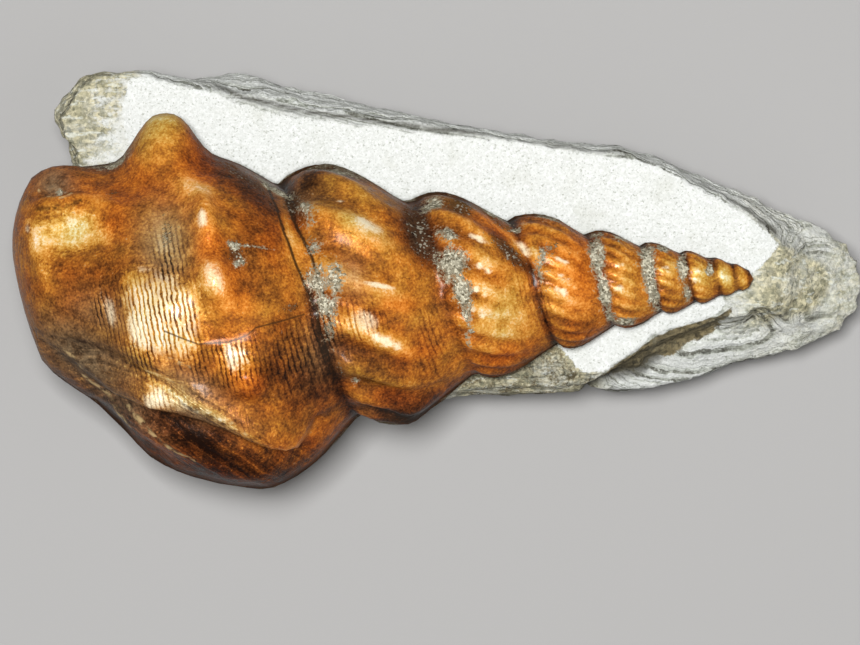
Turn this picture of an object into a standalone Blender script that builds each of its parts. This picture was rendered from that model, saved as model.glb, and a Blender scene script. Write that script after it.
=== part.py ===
"""A fossil high-spired sea snail lying half sunk in the block of laminated shale that it was dug from.

Metres, +Z up. The block stands on its flat spot at z = 0, and the origin is at the middle of the
whole specimen's footprint. The shell's axis runs along X, with the apex towards +X.
"""

import math
import random

import bmesh
import bpy
import numpy as np

MM = 0.001

# The shell, along its axis from the apex
SHELL_LENGTH = 74.1 * MM
APEX_X = 31.3 * MM
AXIS_HEIGHT = 17.0 * MM
BACK_DEPTH = 0.80  # the buried side is flatter than the side that shows

# The seam between turns lies SEAM_SCALE * (GROWTH ** turn - SEAM_START) from the apex
GROWTH = 1.36
SEAM_SCALE = 4.05 * MM
SEAM_START = 0.90
LAST_SEAM = 8  # past it the last whorl is open to the front end

# The shell seen from above: distance from the apex, far edge and near edge, in millimetres
SHELL_EDGES = (
    (0.0, 0.15, 0.15), (0.3, 0.85, -0.55), (0.9, 1.3, -0.95), (1.8, 1.7, -1.25), (10.0, 3.8, -3.9),
    (20.0, 6.2, -7.35), (28.0, 8.15, -10.3), (34.8, 9.7, -13.7), (39.8, 10.9, -15.1), (45.4, 11.8, -19.0),
    (49.6, 12.1, -20.8), (53.0, 12.4, -20.4), (58.0, 12.4, -18.9), (60.8, 12.1, -17.2), (63.5, 11.7, -14.3),
    (66.3, 11.4, -11.8), (69.0, 10.9, -9.9), (71.1, 10.3, -7.9), (72.3, 9.9, -5.1), (73.1, 8.8, -2.2),
    (73.8, 5.8, 0.6), (74.1, 3.3, 3.3),
)

# How each turn swells between its seams
SEAM_DEPTH = 0.16
SWELL_PLACE = 0.63
SWELL_FULLNESS = 0.72
LAST_WHORL_RAMP = 0.46

# Ribs across the turns: (turn, ribs in a full turn), from the apex on
RIB_COUNTS = ((0.0, 12.0), (3.0, 13.0), (5.0, 17.0), (6.0, 16.5), (7.0, 12.0), (8.0, 10.0))
RIB_HEIGHT = 0.09
RIB_MIDDLE = 0.45  # the height of the shell's smooth form, between the grooves and the ribs' tops
RIB_SLANT = 0.10

# Ridges (positive) and grooves (negative) on the last whorl: height, half width and course, in millimetres
FOLDS = (
    (0.7, 1.7, ((-24.7, 9.6), (-23.5, 6.5), (-23.2, 3.5), (-22.8, 0.0), (-21.8, -2.0))),  # the keel
    (0.55, 1.0, ((-39.6, -4.8), (-34.1, -5.8), (-30.6, -7.0), (-27.6, -8.6), (-24.6, -10.5), (-20.6, -12.8))),
    (-0.55, 0.9, ((-39.8, -5.6), (-35.8, -6.9), (-32.2, -8.2), (-29.4, -9.5), (-27.1, -10.7))),
    (0.95, 1.4, ((-35.6, -8.5), (-32.1, -10.6), (-29.1, -12.2), (-25.5, -12.9), (-21.5, -14.4), (-17.2, -16.4))),
    (-1.0, 1.0, ((-37.9, -7.9), (-33.4, -12.0), (-28.6, -14.4), (-24.2, -15.7), (-20.1, -17.4), (-15.4, -18.1))),
    (0.6, 1.1, ((-36.6, -9.4), (-32.8, -13.1), (-28.0, -15.9), (-24.9, -17.5), (-21.5, -19.0), (-17.6, -19.6))),
)

# Knobs and hollows: (distance from the apex, degrees round the axis, height, half length, half width)
KNOBS = (
    (59.1, 78.0, 4.5, 3.5, 4.6),  # the horn on the shoulder
    (55.0, 38.0, 1.3, 1.3, 3.0),  # the keel's two long knobs
    (54.1, 12.0, 1.3, 1.5, 2.5),
    (50.9, -19.5, 1.1, 1.8, 2.0),  # the knob below them
    (70.0, 58.0, 0.9, 2.3, 2.4),  # the lobe at the front end
    (68.1, 22.0, -1.1, 3.6, 2.6),  # the hollow behind it
    (64.5, 68.0, -0.7, 2.2, 3.0),
)

# The block seen from above: (x, y, height of its edge, how far in its broken side reaches as a share
# of the way to the spine), in millimetres
BLOCK_EDGE = (
    (-37.1, 12.2, 10.0, 0.08), (-37.2, 14.1, 11.0, 0.07), (-38.4, 15.7, 12.0, 0.06), (-38.9, 17.0, 12.5, 0.05),
    (-38.0, 18.4, 12.9, 0.05), (-36.3, 20.2, 12.9, 0.05), (-34.9, 21.1, 12.8, 0.04), (-29.4, 21.3, 12.0, 0.04),
    (-25.4, 20.5, 11.0, 0.06), (-22.1, 21.1, 10.0, 0.12), (-19.5, 21.2, 9.8, 0.14), (-17.3, 20.3, 10.2, 0.11),
    (-11.2, 18.7, 10.5, 0.09), (-3.0, 17.0, 10.5, 0.07), (3.1, 15.7, 10.5, 0.06), (10.9, 14.4, 10.4, 0.06),
    (18.4, 13.6, 10.2, 0.07), (22.3, 12.7, 10.0, 0.11), (26.7, 10.6, 10.0, 0.17), (32.3, 8.3, 10.4, 0.27),
    (35.0, 7.0, 10.6, 0.34), (39.0, 5.2, 10.6, 0.5), (41.4, 3.6, 10.2, 0.62), (42.5, 1.7, 9.8, 0.7),
    (42.8, -0.4, 9.4, 0.7), (42.1, -3.0, 8.8, 0.68), (40.6, -4.8, 8.6, 0.66), (38.4, -6.3, 8.6, 0.66),
    (35.0, -7.1, 8.8, 0.66), (29.6, -8.6, 9.2, 0.6), (25.3, -10.0, 9.8, 0.5), (21.2, -10.8, 10.5, 0.36),
    (17.0, -11.2, 11.2, 0.12), (11.1, -11.3, 11.5, 0.07), (5.0, -11.5, 11.0, 0.09), (-1.0, -12.0, 10.0, 0.12),
    (-5.0, -12.2, 9.0, 0.12), (-8.5, -12.6, 8.5, 0.12), (-14.0, -13.8, 7.5, 0.12), (-20.0, -14.2, 6.5, 0.12),
    (-25.5, -13.0, 6.0, 0.12), (-30.0, -10.5, 6.0, 0.12), (-33.4, -7.0, 6.5, 0.12), (-35.6, -2.5, 7.0, 0.12),
    (-36.6, 3.0, 7.5, 0.12), (-37.0, 9.0, 8.5, 0.1),
)
SPINE_ENDS = ((-26.0, 1.5), (30.0, -0.6))
TOP_HEIGHT = 16.0 * MM
NEAR_TOP_HEIGHT = 14.6 * MM
TIP_HEIGHT = 12.2 * MM

# The underside: its flat spot, then the beds that step out and up to the block's edge. The share
# of the way out comes first, and the share of the edge's height second
FLAT_SPOT_CENTRE = (-8.0, 0.5)
FLAT_SPOT_SHARE = 0.42
UNDER_BEDS = ((0.68, 0.10), (0.72, 0.20), (0.88, 0.30), (0.91, 0.46), (0.99, 0.62), (0.98, 0.84))
# The broken side, from the block's edge in to its top: share of the side's width, then share of
# its rise where the side is a slope, and where it is a ledge
SIDE_BEDS = ((0.45, 0.50, 0.16), (0.90, 0.94, 0.34))
SOCKET_GAP = 0.55 * MM
ROUGHNESS = 0.22 * MM


def smooth_curve(points, column, where):
    """A curve with no corners through the points' first column and the given one, read at where."""
    places = np.array([point[0] for point in points])
    values = np.array([point[column] for point in points])
    steps = np.diff(values) / np.diff(places)
    slopes = np.concatenate([[steps[0]], (steps[1:] + steps[:-1]) / 2, [steps[-1]]])
    turning = np.concatenate([[False], steps[1:] * steps[:-1] <= 0, [False]])
    slopes[turning] = 0.0
    i = np.clip(np.searchsorted(places, where) - 1, 0, len(places) - 2)
    width = places[i + 1] - places[i]
    t = np.clip((where - places[i]) / width, 0, 1)
    ahead = t * t * (3 - 2 * t)
    return (
        values[i] * (1 - ahead)
        + values[i + 1] * ahead
        + width * slopes[i] * t * (1 - t) ** 2
        - width * slopes[i + 1] * t * t * (1 - t)
    )


def ease(low, high, value):
    """0 below low and 1 above high, with a smooth step between."""
    t = np.clip((value - low) / (high - low), 0, 1)
    return t * t * (3 - 2 * t)


def seam_distance(turn):
    return SEAM_SCALE * (GROWTH**turn - SEAM_START)


def turn_at(distance):
    return np.log(distance / SEAM_SCALE + SEAM_START) / math.log(GROWTH)


def centre_and_radius(distance):
    """The middle and half the width of the shell's outline, that far from the apex."""
    far = smooth_curve(SHELL_EDGES, 1, distance / MM) * MM
    near = smooth_curve(SHELL_EDGES, 2, distance / MM) * MM
    return (far + near) / 2, (far - near) / 2


def swell(turn):
    """0 in the seam and 1 at the turn's widest place. Past the last seam it stays at 1."""
    share = np.mod(turn, 1.0)
    power = math.log(0.5) / math.log(SWELL_PLACE)
    round_turn = np.sin(np.pi * share**power) ** SWELL_FULLNESS
    ramp = np.sin(np.pi / 2 * np.clip((turn - LAST_SEAM) / LAST_WHORL_RAMP, 0, 1)) ** 0.9
    return np.where(turn < LAST_SEAM, round_turn, ramp)


def ribs(turn, angle):
    """Slanting ribs, strongest at the front of each turn and gone in the seams."""
    share = np.mod(turn, 1.0)
    grown = np.floor(turn) + angle / (2 * np.pi) - RIB_SLANT * (share - 0.5)
    turns, counts = np.array(RIB_COUNTS).T
    ribs_before = np.concatenate([[0], np.cumsum(np.diff(turns) * (counts[1:] + counts[:-1]) / 2)])
    # Counted back from the rib that lies on top of the last turn but one
    count = np.interp(grown, turns, ribs_before) - np.interp(7.0, turns, ribs_before)
    wave = 0.5 + 0.5 * np.cos(2 * np.pi * count)
    strength = ease(0.15, 0.55, share) * (1 - ease(0.85, 1.0, share)) * ease(1.2, 3.0, turn)
    return np.where(turn < LAST_SEAM, (wave - RIB_MIDDLE) * strength, 0.0)


def distance_to_course(x, y, course):
    nearest = np.full(np.shape(x), np.inf)
    for (ax, ay), (bx, by) in zip(course, course[1:]):
        dx, dy = bx - ax, by - ay
        t = np.clip(((x - ax) * dx + (y - ay) * dy) / (dx * dx + dy * dy), 0, 1)
        nearest = np.minimum(nearest, np.hypot(x - ax - t * dx, y - ay - t * dy))
    return nearest


def relief(distance, angle, centre, radius):
    """The height of the last whorl's knobs, folds and hollows over its smooth form, in metres."""
    height = np.zeros(np.shape(radius))
    for place, degrees, rise, length, width in KNOBS:
        along = (distance / MM - place) / length
        around = (angle - math.radians(degrees)) * radius / MM / width
        height += rise * np.exp(-((along**2 + around**2) ** 1.5))
    x = (APEX_X - distance) / MM
    y = (centre + radius * np.sin(angle)) / MM
    showing = ease(0.0, 0.25, np.cos(angle))
    for rise, half_width, course in FOLDS:
        height += rise * showing * np.exp(-((distance_to_course(x, y, course) / half_width) ** 2))
    return height * MM


def shell_surface(distance, angle, grow):
    """The point on the shell that far from the apex and that far round the axis."""
    turn = turn_at(distance) - angle / (2 * np.pi)
    centre, smooth = centre_and_radius(distance)
    closing = ease(0.0, 1.5 * MM, distance) * (1 - ease(SHELL_LENGTH - 2.5 * MM, SHELL_LENGTH, distance))
    radius = smooth * (1 + closing * (RIB_HEIGHT * ribs(turn, angle) - SEAM_DEPTH * (1 - swell(turn))))
    radius = radius + closing * relief(distance, angle, centre, smooth) + grow
    depth = np.where(np.cos(angle) < 0, BACK_DEPTH, 1.0)
    x = APEX_X - distance
    y = centre + radius * np.sin(angle)
    z = AXIS_HEIGHT + radius * np.cos(angle) * depth
    return np.stack([x, y, z], axis=-1)


def ring_turns():
    """The turns at which the shell's rings lie. Each turn has one ring in its seam."""
    turns = [-0.335, -0.30, -0.15]
    for whorl in range(LAST_SEAM):
        steps = (0.0, 0.25, 0.55, 0.8) if whorl < 3 else (0.0, 0.12, 0.3, 0.6, 0.8, 0.92)
        turns += [whorl + step for step in steps]
    last_whorl = np.linspace(seam_distance(LAST_SEAM), SHELL_LENGTH - 1.0 * MM, 22)
    closing = SHELL_LENGTH - np.array([0.65, 0.35, 0.12]) * MM
    return np.concatenate([turns, turn_at(last_whorl), turn_at(closing)])


def column_angles():
    """Angles round the axis: close together where the shell shows, wide apart where it is buried."""
    shown = np.linspace(-100, 100, 38, endpoint=False)
    buried = np.linspace(100, 260, 9, endpoint=False)
    degrees = np.concatenate([shown, buried])
    return np.radians(np.where(degrees > 180, degrees - 360, degrees))


def ring_shift(angle):
    """How far a ring follows the coil, in turns: all the way where it shows, then back to its start."""
    shown = math.radians(100)
    back = np.clip((np.pi - np.abs(angle)) / (np.pi - shown), 0, 1)
    return np.where(np.abs(angle) < shown, angle, np.sign(angle) * shown * back) / (2 * np.pi)


def shell_mesh(name, grow=0.0):
    """A closed skin of rings from the apex to the front end, moved out by grow."""
    angles = column_angles()
    turns = ring_turns()
    follow = ease(0.2, 2.0, turns) * (1 - ease(8.3, 9.3, turns))
    grid_turns = turns[:, None] + ring_shift(angles)[None, :] * follow[:, None]
    distance = np.clip(seam_distance(grid_turns), 0.0, SHELL_LENGTH)
    points = shell_surface(distance, angles[None, :] + 0 * distance, grow)
    rows, columns = distance.shape

    mesh = bmesh.new()
    rings = [[mesh.verts.new(point) for point in ring] for ring in points]
    apex = mesh.verts.new((APEX_X + grow, SHELL_EDGES[0][1] * MM, AXIS_HEIGHT))
    front = mesh.verts.new((APEX_X - SHELL_LENGTH - grow, SHELL_EDGES[-1][1] * MM, AXIS_HEIGHT))
    for column in range(columns):
        after = (column + 1) % columns
        mesh.faces.new((apex, rings[0][after], rings[0][column]))
        mesh.faces.new((front, rings[-1][column], rings[-1][after]))
        for ring, following in zip(rings, rings[1:]):
            mesh.faces.new((ring[column], ring[after], following[after], following[column]))
    made = bpy.data.meshes.new(name)
    mesh.to_mesh(made)
    mesh.free()
    made.shade_smooth()
    return made


def spine_point(x, y):
    (x0, y0), (x1, y1) = SPINE_ENDS
    nearest = min(max(x, x0), x1)
    return nearest, y0 + (y1 - y0) * (nearest - x0) / (x1 - x0)


def top_height(x, y):
    """The block's top: level beside the shell, lower on the near side and at the tip."""
    spine_y = spine_point(x, y)[1]
    near = ease(0.0, 6.0, spine_y - y) * ease(-2.0, 6.0, x)
    height = TOP_HEIGHT + (NEAR_TOP_HEIGHT - TOP_HEIGHT) * near
    return height + (TIP_HEIGHT - height) * ease(31.0, 43.0, x)


def underside_ring(share_out, share_up):
    centre_x, centre_y = FLAT_SPOT_CENTRE
    return [
        (centre_x + (x - centre_x) * share_out, centre_y + (y - centre_y) * share_out, edge * MM * share_up)
        for x, y, edge, rim in BLOCK_EDGE
    ]


def side_ring(share_in, slope_rise, ledge_rise):
    """A ring in the broken side. The side is a ledge at the near side of the tip, and else a slope."""
    ring = []
    for x, y, edge, rim in BLOCK_EDGE:
        spine_x, spine_y = spine_point(x, y)
        px = x + (spine_x - x) * rim * share_in
        py = y + (spine_y - y) * rim * share_in
        ledge = ease(13.0, 19.0, x) * ease(-2.0, -5.0, y) * (1 - ease(33.0, 39.0, x))
        rise = slope_rise + (ledge_rise - slope_rise) * ledge
        ring.append((px, py, edge * MM + (top_height(px, py) - edge * MM) * rise))
    return ring


def top_ring(share_in):
    ring = []
    for x, y, edge, rim in BLOCK_EDGE:
        spine_x, spine_y = spine_point(x, y)
        reach = rim + (1 - rim) * share_in
        px, py = x + (spine_x - x) * reach, y + (spine_y - y) * reach
        ring.append((px, py, top_height(px, py)))
    return ring


def roughened(ring, amount):
    return [
        (
            x + random.uniform(-amount, amount) / MM,
            y + random.uniform(-amount, amount) / MM,
            z + random.uniform(-amount, amount),
        )
        for x, y, z in ring
    ]


def block_mesh(name):
    """Rings from the flat spot out over the beds of the underside, up the side and in over the top."""
    random.seed(7)
    rings = [underside_ring(FLAT_SPOT_SHARE, 0.0)]
    rings += [roughened(underside_ring(out, up), ROUGHNESS) for out, up in UNDER_BEDS]
    rings.append(side_ring(0.0, 0.0, 0.0))
    rings += [roughened(side_ring(*bed), ROUGHNESS) for bed in SIDE_BEDS]
    rings += [roughened(top_ring(share), ROUGHNESS / 3) for share in (0.0, 0.3, 0.6, 0.85)]

    mesh = bmesh.new()
    loops = [[mesh.verts.new((x * MM, y * MM, z)) for x, y, z in ring] for ring in rings]
    count = len(BLOCK_EDGE)
    for lower, upper in zip(loops, loops[1:]):
        for i in range(count):
            j = (i + 1) % count
            mesh.faces.new((lower[i], lower[j], upper[j], upper[i]))
    ends = [mesh.faces.new(loops[0]), mesh.faces.new(loops[-1])]
    bmesh.ops.triangulate(mesh, faces=ends)
    bmesh.ops.recalc_face_normals(mesh, faces=mesh.faces)
    made = bpy.data.meshes.new(name)
    mesh.to_mesh(made)
    mesh.free()
    return made


def finish(name, colour, roughness):
    material = bpy.data.materials.new(name)
    material.use_nodes = True
    shader = material.node_tree.nodes["Principled BSDF"]
    shader.inputs["Base Color"].default_value = (*colour, 1.0)
    shader.inputs["Roughness"].default_value = roughness
    shader.inputs["Metallic"].default_value = 0.0
    return material


def place(name, mesh, material=None):
    made = bpy.data.objects.new(name, mesh)
    if material:
        made.data.materials.append(material)
    bpy.context.scene.collection.objects.link(made)
    return made


def make_shell():
    place("shell", shell_mesh("shell"), finish("amber calcite shell", (0.42, 0.17, 0.04), 0.25))


def make_matrix():
    matrix = place("matrix", block_mesh("matrix"), finish("grey shale", (0.62, 0.62, 0.58), 0.9))
    socket = place("socket_cutter", shell_mesh("socket_cutter", SOCKET_GAP))
    socket.hide_render = True
    socket.display_type = "WIRE"
    cut = matrix.modifiers.new("socket", "BOOLEAN")
    cut.operation = "DIFFERENCE"
    cut.solver = "EXACT"
    cut.object = socket


def main():
    for old in list(bpy.data.objects):
        bpy.data.objects.remove(old)
    make_shell()
    make_matrix()


main()
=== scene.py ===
import math
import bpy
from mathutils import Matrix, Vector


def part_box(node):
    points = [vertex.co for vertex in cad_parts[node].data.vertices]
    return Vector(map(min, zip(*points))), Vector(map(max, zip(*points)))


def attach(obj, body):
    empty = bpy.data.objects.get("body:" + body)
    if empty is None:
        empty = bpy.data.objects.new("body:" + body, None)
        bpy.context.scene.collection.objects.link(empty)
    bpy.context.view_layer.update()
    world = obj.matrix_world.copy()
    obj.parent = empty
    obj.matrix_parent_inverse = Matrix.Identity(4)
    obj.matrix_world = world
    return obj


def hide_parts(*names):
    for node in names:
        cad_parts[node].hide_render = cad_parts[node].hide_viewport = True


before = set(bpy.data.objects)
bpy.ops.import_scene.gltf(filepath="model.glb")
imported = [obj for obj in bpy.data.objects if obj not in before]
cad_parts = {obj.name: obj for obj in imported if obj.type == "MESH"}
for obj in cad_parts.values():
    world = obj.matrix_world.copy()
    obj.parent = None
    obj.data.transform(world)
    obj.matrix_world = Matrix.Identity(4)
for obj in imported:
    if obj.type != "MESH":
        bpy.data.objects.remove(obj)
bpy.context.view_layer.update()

from types import SimpleNamespace

import bmesh
import bpy
import numpy as np
from mathutils import Vector, noise
from mathutils.bvhtree import BVHTree

# Lengths and places are in millimetres, in the frame's own axes, and mm turns them into metres
mm = 0.001
shellLow, shellHigh = [np.array(corner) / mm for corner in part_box("shell")]
blockLow, blockHigh = [np.array(corner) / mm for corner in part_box("matrix")]
axisHeight = 17.0        # the shell's axis lies level, this far above the table


# Camera: straight above, as the photo was taken

photoCamera = dict(
    x=-1.05,
    y=-4.2,
    aboveAxis=500.0,
    fieldWidth=86.0,     # what the picture takes in at the height of the axis
    sensorWidth=36.0,
)


def makeCamera():
    data = bpy.data.cameras.new("photoCamera")
    data.sensor_width = photoCamera["sensorWidth"]
    data.lens = data.sensor_width * photoCamera["aboveAxis"] / photoCamera["fieldWidth"]
    data.clip_start = 0.01
    data.clip_end = 20.0
    camera = bpy.data.objects.new("photoCamera", data)
    height = axisHeight + photoCamera["aboveAxis"]
    camera.location = (photoCamera["x"] * mm, photoCamera["y"] * mm, height * mm)
    bpy.context.scene.collection.objects.link(camera)
    bpy.context.scene.camera = camera


makeCamera()
print("camera placed")


# Curves, gaps and noise that both pieces are shaped with

def ease(low, high, value):
    t = np.clip((value - low) / (high - low), 0, 1)
    return t * t * (3 - 2 * t)


def span(rise, fall, value):  # 0, up to 1 and back to 0
    return ease(*rise, value) * (1 - ease(*fall, value))


def nearness(gap, width):  # 1 on a line or surface, fading to 0 away from it
    return np.exp(-((gap / width) ** 2))


def smoothCurve(points, column, where):  # one column of a table, smoothly between its rows
    places = np.array(points)[:, 0]
    values = np.array(points)[:, column]
    steps = np.diff(values) / np.diff(places)
    slopes = np.concatenate([[steps[0]], (steps[1:] + steps[:-1]) / 2, [steps[-1]]])
    turning = np.concatenate([[False], steps[1:] * steps[:-1] <= 0, [False]])
    slopes[turning] = 0.0
    i = np.clip(np.searchsorted(places, where) - 1, 0, len(places) - 2)
    width = places[i + 1] - places[i]
    t = np.clip((where - places[i]) / width, 0, 1)
    ahead = t * t * (3 - 2 * t)
    return (
        values[i] * (1 - ahead)
        + values[i + 1] * ahead
        + width * slopes[i] * t * (1 - t) ** 2
        - width * slopes[i + 1] * t * t * (1 - t)
    )


def fromAbove(x, y, z):  # where the photo shows a point, as a place in the level plane of the axis
    nearer = photoCamera["aboveAxis"] / (photoCamera["aboveAxis"] - (z - axisHeight))
    seenX = photoCamera["x"] + (x - photoCamera["x"]) * nearer
    seenY = photoCamera["y"] + (y - photoCamera["y"]) * nearer
    return seenX, seenY


def gapToCourse(x, y, course):  # how far it is to the nearest point of a bent line
    nearest = np.full(np.shape(x), 1e6)
    for (ax, ay), (bx, by) in zip(course, course[1:]):
        dx, dy = bx - ax, by - ay
        t = np.clip(((x - ax) * dx + (y - ay) * dy) / (dx * dx + dy * dy), 0, 1)
        nearest = np.minimum(nearest, np.hypot(x - ax - t * dx, y - ay - t * dy))
    return nearest


def sideOfCourse(x, y, course):  # how far to the right of a course that runs up or down
    along = np.array(sorted(course, key=lambda point: point[1]))
    return x - np.interp(y, along[:, 1], along[:, 0])


def depthInArea(x, y, corners):  # how far inside the area, and less than 0 outside it
    inside = np.zeros(np.shape(x), bool)
    loop = tuple(corners) + tuple(corners[:1])
    for (ax, ay), (bx, by) in zip(loop, loop[1:]):
        if ay != by:
            inside ^= ((ay > y) != (by > y)) & (x < ax + (y - ay) * (bx - ax) / (by - ay))
    return gapToCourse(x, y, loop) * np.where(inside, 1, -1)


def patch(x, y, centreX, centreY, halfX, halfY, lean=0.0, edge=1.0):  # 1 at its middle, 0 outside
    turn = math.radians(lean)
    along = (x - centreX) * math.cos(turn) + (y - centreY) * math.sin(turn)
    across = (y - centreY) * math.cos(turn) - (x - centreX) * math.sin(turn)
    return np.exp(-(((along / halfX) ** 2 + (across / halfY) ** 2) ** edge))


def patches(x, y, places, edge):  # one array for each row of a table of patches
    return [amount * patch(x, y, px, py, *shape, edge) for px, py, amount, *shape in places]


def patchSum(x, y, places, edge=1.0):
    return sum(patches(x, y, places, edge))


def patchMost(x, y, places, edge=1.0):
    return np.max(patches(x, y, places, edge), axis=0)


def lumps(points, size, detail=3, shift=0.0):  # about -1 to 1 at each point
    start = Vector((shift, shift * 1.7, shift * 0.6))
    return np.array([noise.fractal(Vector(point) / size + start, 1.0, 2.0, detail) for point in points])


# Shared steps for making a piece

def deselectAll():
    if bpy.context.object and bpy.context.object.mode != "OBJECT":
        bpy.ops.object.mode_set(mode="OBJECT")
    bpy.ops.object.select_all(action="DESELECT")


def addRingedCylinder(name, columns, rings, ends):  # ring and column run from 0 to 1 along and round it
    deselectAll()
    bpy.ops.mesh.primitive_cylinder_add(vertices=columns, radius=1.0, depth=2.0, end_fill_type=ends)
    piece = bpy.context.object
    piece.name = piece.data.name = name
    bpy.ops.object.mode_set(mode="EDIT")
    bpy.ops.mesh.select_mode(type="EDGE")
    bpy.ops.mesh.select_all(action="DESELECT")
    cage = bmesh.from_edit_mesh(piece.data)
    for edge in cage.edges:
        edge.select = abs(edge.verts[0].co.z - edge.verts[1].co.z) > 1.0
    bmesh.update_edit_mesh(piece.data)
    bpy.ops.mesh.subdivide(number_cuts=rings - 2)
    bpy.ops.object.mode_set(mode="OBJECT")
    start = pointsOf(piece) * mm
    ring = (start[:, 2] + 1.0) / 2.0
    column = np.mod(np.arctan2(start[:, 1], start[:, 0]) / (2 * np.pi), 1.0)
    column[column > 1 - 0.25 / columns] = 0.0
    onAxis = np.hypot(start[:, 0], start[:, 1]) < 0.5
    return piece, ring, column, onAxis


def pointsOf(piece):
    flat = np.empty(len(piece.data.vertices) * 3)
    piece.data.vertices.foreach_get("co", flat)
    return flat.reshape(-1, 3) / mm


def normalsOf(piece):
    flat = np.empty(len(piece.data.vertices) * 3)
    piece.data.vertex_normals.foreach_get("vector", flat)
    return flat.reshape(-1, 3)


def movePoints(piece, points):
    piece.data.vertices.foreach_set("co", (points * mm).reshape(-1))
    piece.data.update()


def keepValues(piece, **columns):  # numbers for each point, which the materials read by name
    for name, values in columns.items():
        kept = piece.data.attributes.new(name, "FLOAT", "POINT")
        kept.data.foreach_set("value", np.asarray(values, np.float32))


def editAll(piece):
    deselectAll()
    bpy.context.view_layer.objects.active = piece
    piece.select_set(True)
    bpy.ops.object.mode_set(mode="EDIT")
    bpy.ops.mesh.select_all(action="SELECT")


def turnFacesOut(piece):
    editAll(piece)
    bpy.ops.mesh.normals_make_consistent(inside=False)
    bpy.ops.object.mode_set(mode="OBJECT")
    bpy.ops.object.shade_smooth()


# The shell: one skin that follows the coil, with its seams, ribs, folds, knobs and flaked layer

shell = dict(
    apexX=shellHigh[0],
    length=shellHigh[0] - shellLow[0],
    backDepth=0.80,          # the buried side is flatter
    rings=102,               # one subdivide makes no more than 100 cuts
    columns=262,
    steps=336,               # the rings lie at even shares of these steps along the coil
    endSteps=18,
    bluntEnd=2.4,            # the length that the last steps crowd together on
    tipSteps=(0.1, 0.25, 0.5),
    shownColumns=0.88,       # the share of the columns on the side that shows
    shownDegrees=105.0,
    growth=1.36,             # each turn is this much wider than the one before
    seamScale=4.05,
    seamStart=0.90,
    lastSeam=8,
    seamDepth=0.165,
    crackDepth=0.25,
    crustHeight=0.25,
    wrinkleHeight=0.08,
    wrinkleSpacing=0.95,
    swellPlace=0.63,
    swellFullness=0.72,
    lastWhorlRamp=0.46,
    ribHeights=((0.0, 0.05), (4.0, 0.058), (6.0, 0.05), (7.0, 0.055), (7.3, 0.085), (8.0, 0.085)),
    ribMiddle=0.45,
    ribSlant=0.10,
    ribCounts=((0.0, 14.0), (3.0, 18.0), (4.0, 21.0), (5.0, 23.0), (6.0, 21.0), (7.0, 13.0), (8.0, 11.0)),
    # distance from the apex, then the far and the near edge as seen from above
    edges=(
        (0.0, 0.15, 0.15), (0.3, 0.85, -0.55), (0.9, 1.3, -0.95), (1.8, 1.7, -1.25), (10.0, 3.8, -3.9),
        (20.0, 6.2, -7.35), (28.0, 8.15, -10.3), (34.8, 9.7, -13.7), (39.8, 10.9, -15.1),
        (45.4, 11.8, -19.0), (49.6, 12.1, -20.8), (53.0, 12.4, -20.4), (58.0, 12.4, -18.9),
        (60.8, 12.1, -17.2), (63.5, 11.7, -14.3), (66.3, 11.4, -11.8), (69.0, 10.9, -9.9),
        (71.1, 10.5, -7.9), (72.2, 9.8, -5.1), (72.8, 9.1, -3.2), (73.3, 8.0, -1.3), (73.7, 6.7, 0.5),
        (74.0, 5.1, 2.2), (74.1, 3.7, 3.7),
    ),
    threadWidth=0.5,         # from one spiral thread to the next
    # turn, then how far the coil is drawn along the axis at its far and at its near side
    leans=(
        (0.0, 0.0, 0.0), (5.0, -0.1, 0.1), (5.5, 0.4, 0.3), (6.0, -0.6, 0.6), (7.0, -0.35, 1.1),
        (8.0, 0.0, 1.0), (9.2, 0.0, 0.0),
    ),
)

# On the shoulder of the last whorl: distance from the apex, degrees round the axis
horn = dict(place=58.85, degrees=78.0, rise=4.5, halfLength=3.65, halfWidth=4.6)

# Knobs and hollows of the last whorl as the photo shows them: x, y, height, half sizes, lean
knobs = (
    (-23.5, 5.8, 1.35, 1.1, 2.6, 8),       # the keel's two long knobs
    (-22.6, -0.3, 1.8, 1.45, 2.3, 14),
    (-19.4, -9.8, 1.5, 2.2, 1.7, -20),     # the knob below them
    (-38.4, 10.3, 0.9, 2.6, 1.4, 12),      # the lobe at the front end and its pit
    (-38.9, 9.1, -0.8, 1.4, 0.8, -10),
    (-36.2, 4.6, -1.1, 3.8, 2.3, 10),      # the hollow behind the lobe
    (-31.2, 10.4, -0.6, 2.4, 2.2, 0),
    (-27.6, 3, -0.6, 2.2, 4.2, 0),
    (-17.4, -14.8, 0.6, 3.4, 1.3, -20),
    (-29, -11.4, 0.7, 1.5, 1.2, -20),
    (-28.6, -3.6, 1.25, 4.4, 5.5, -8),     # the broad rise that the threads lie on
    (-20.4, 2.6, -0.35, 0.8, 1.3, -15),
    (-2.6, -12.9, 0.5, 1.8, 1.2, 20),
)

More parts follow.
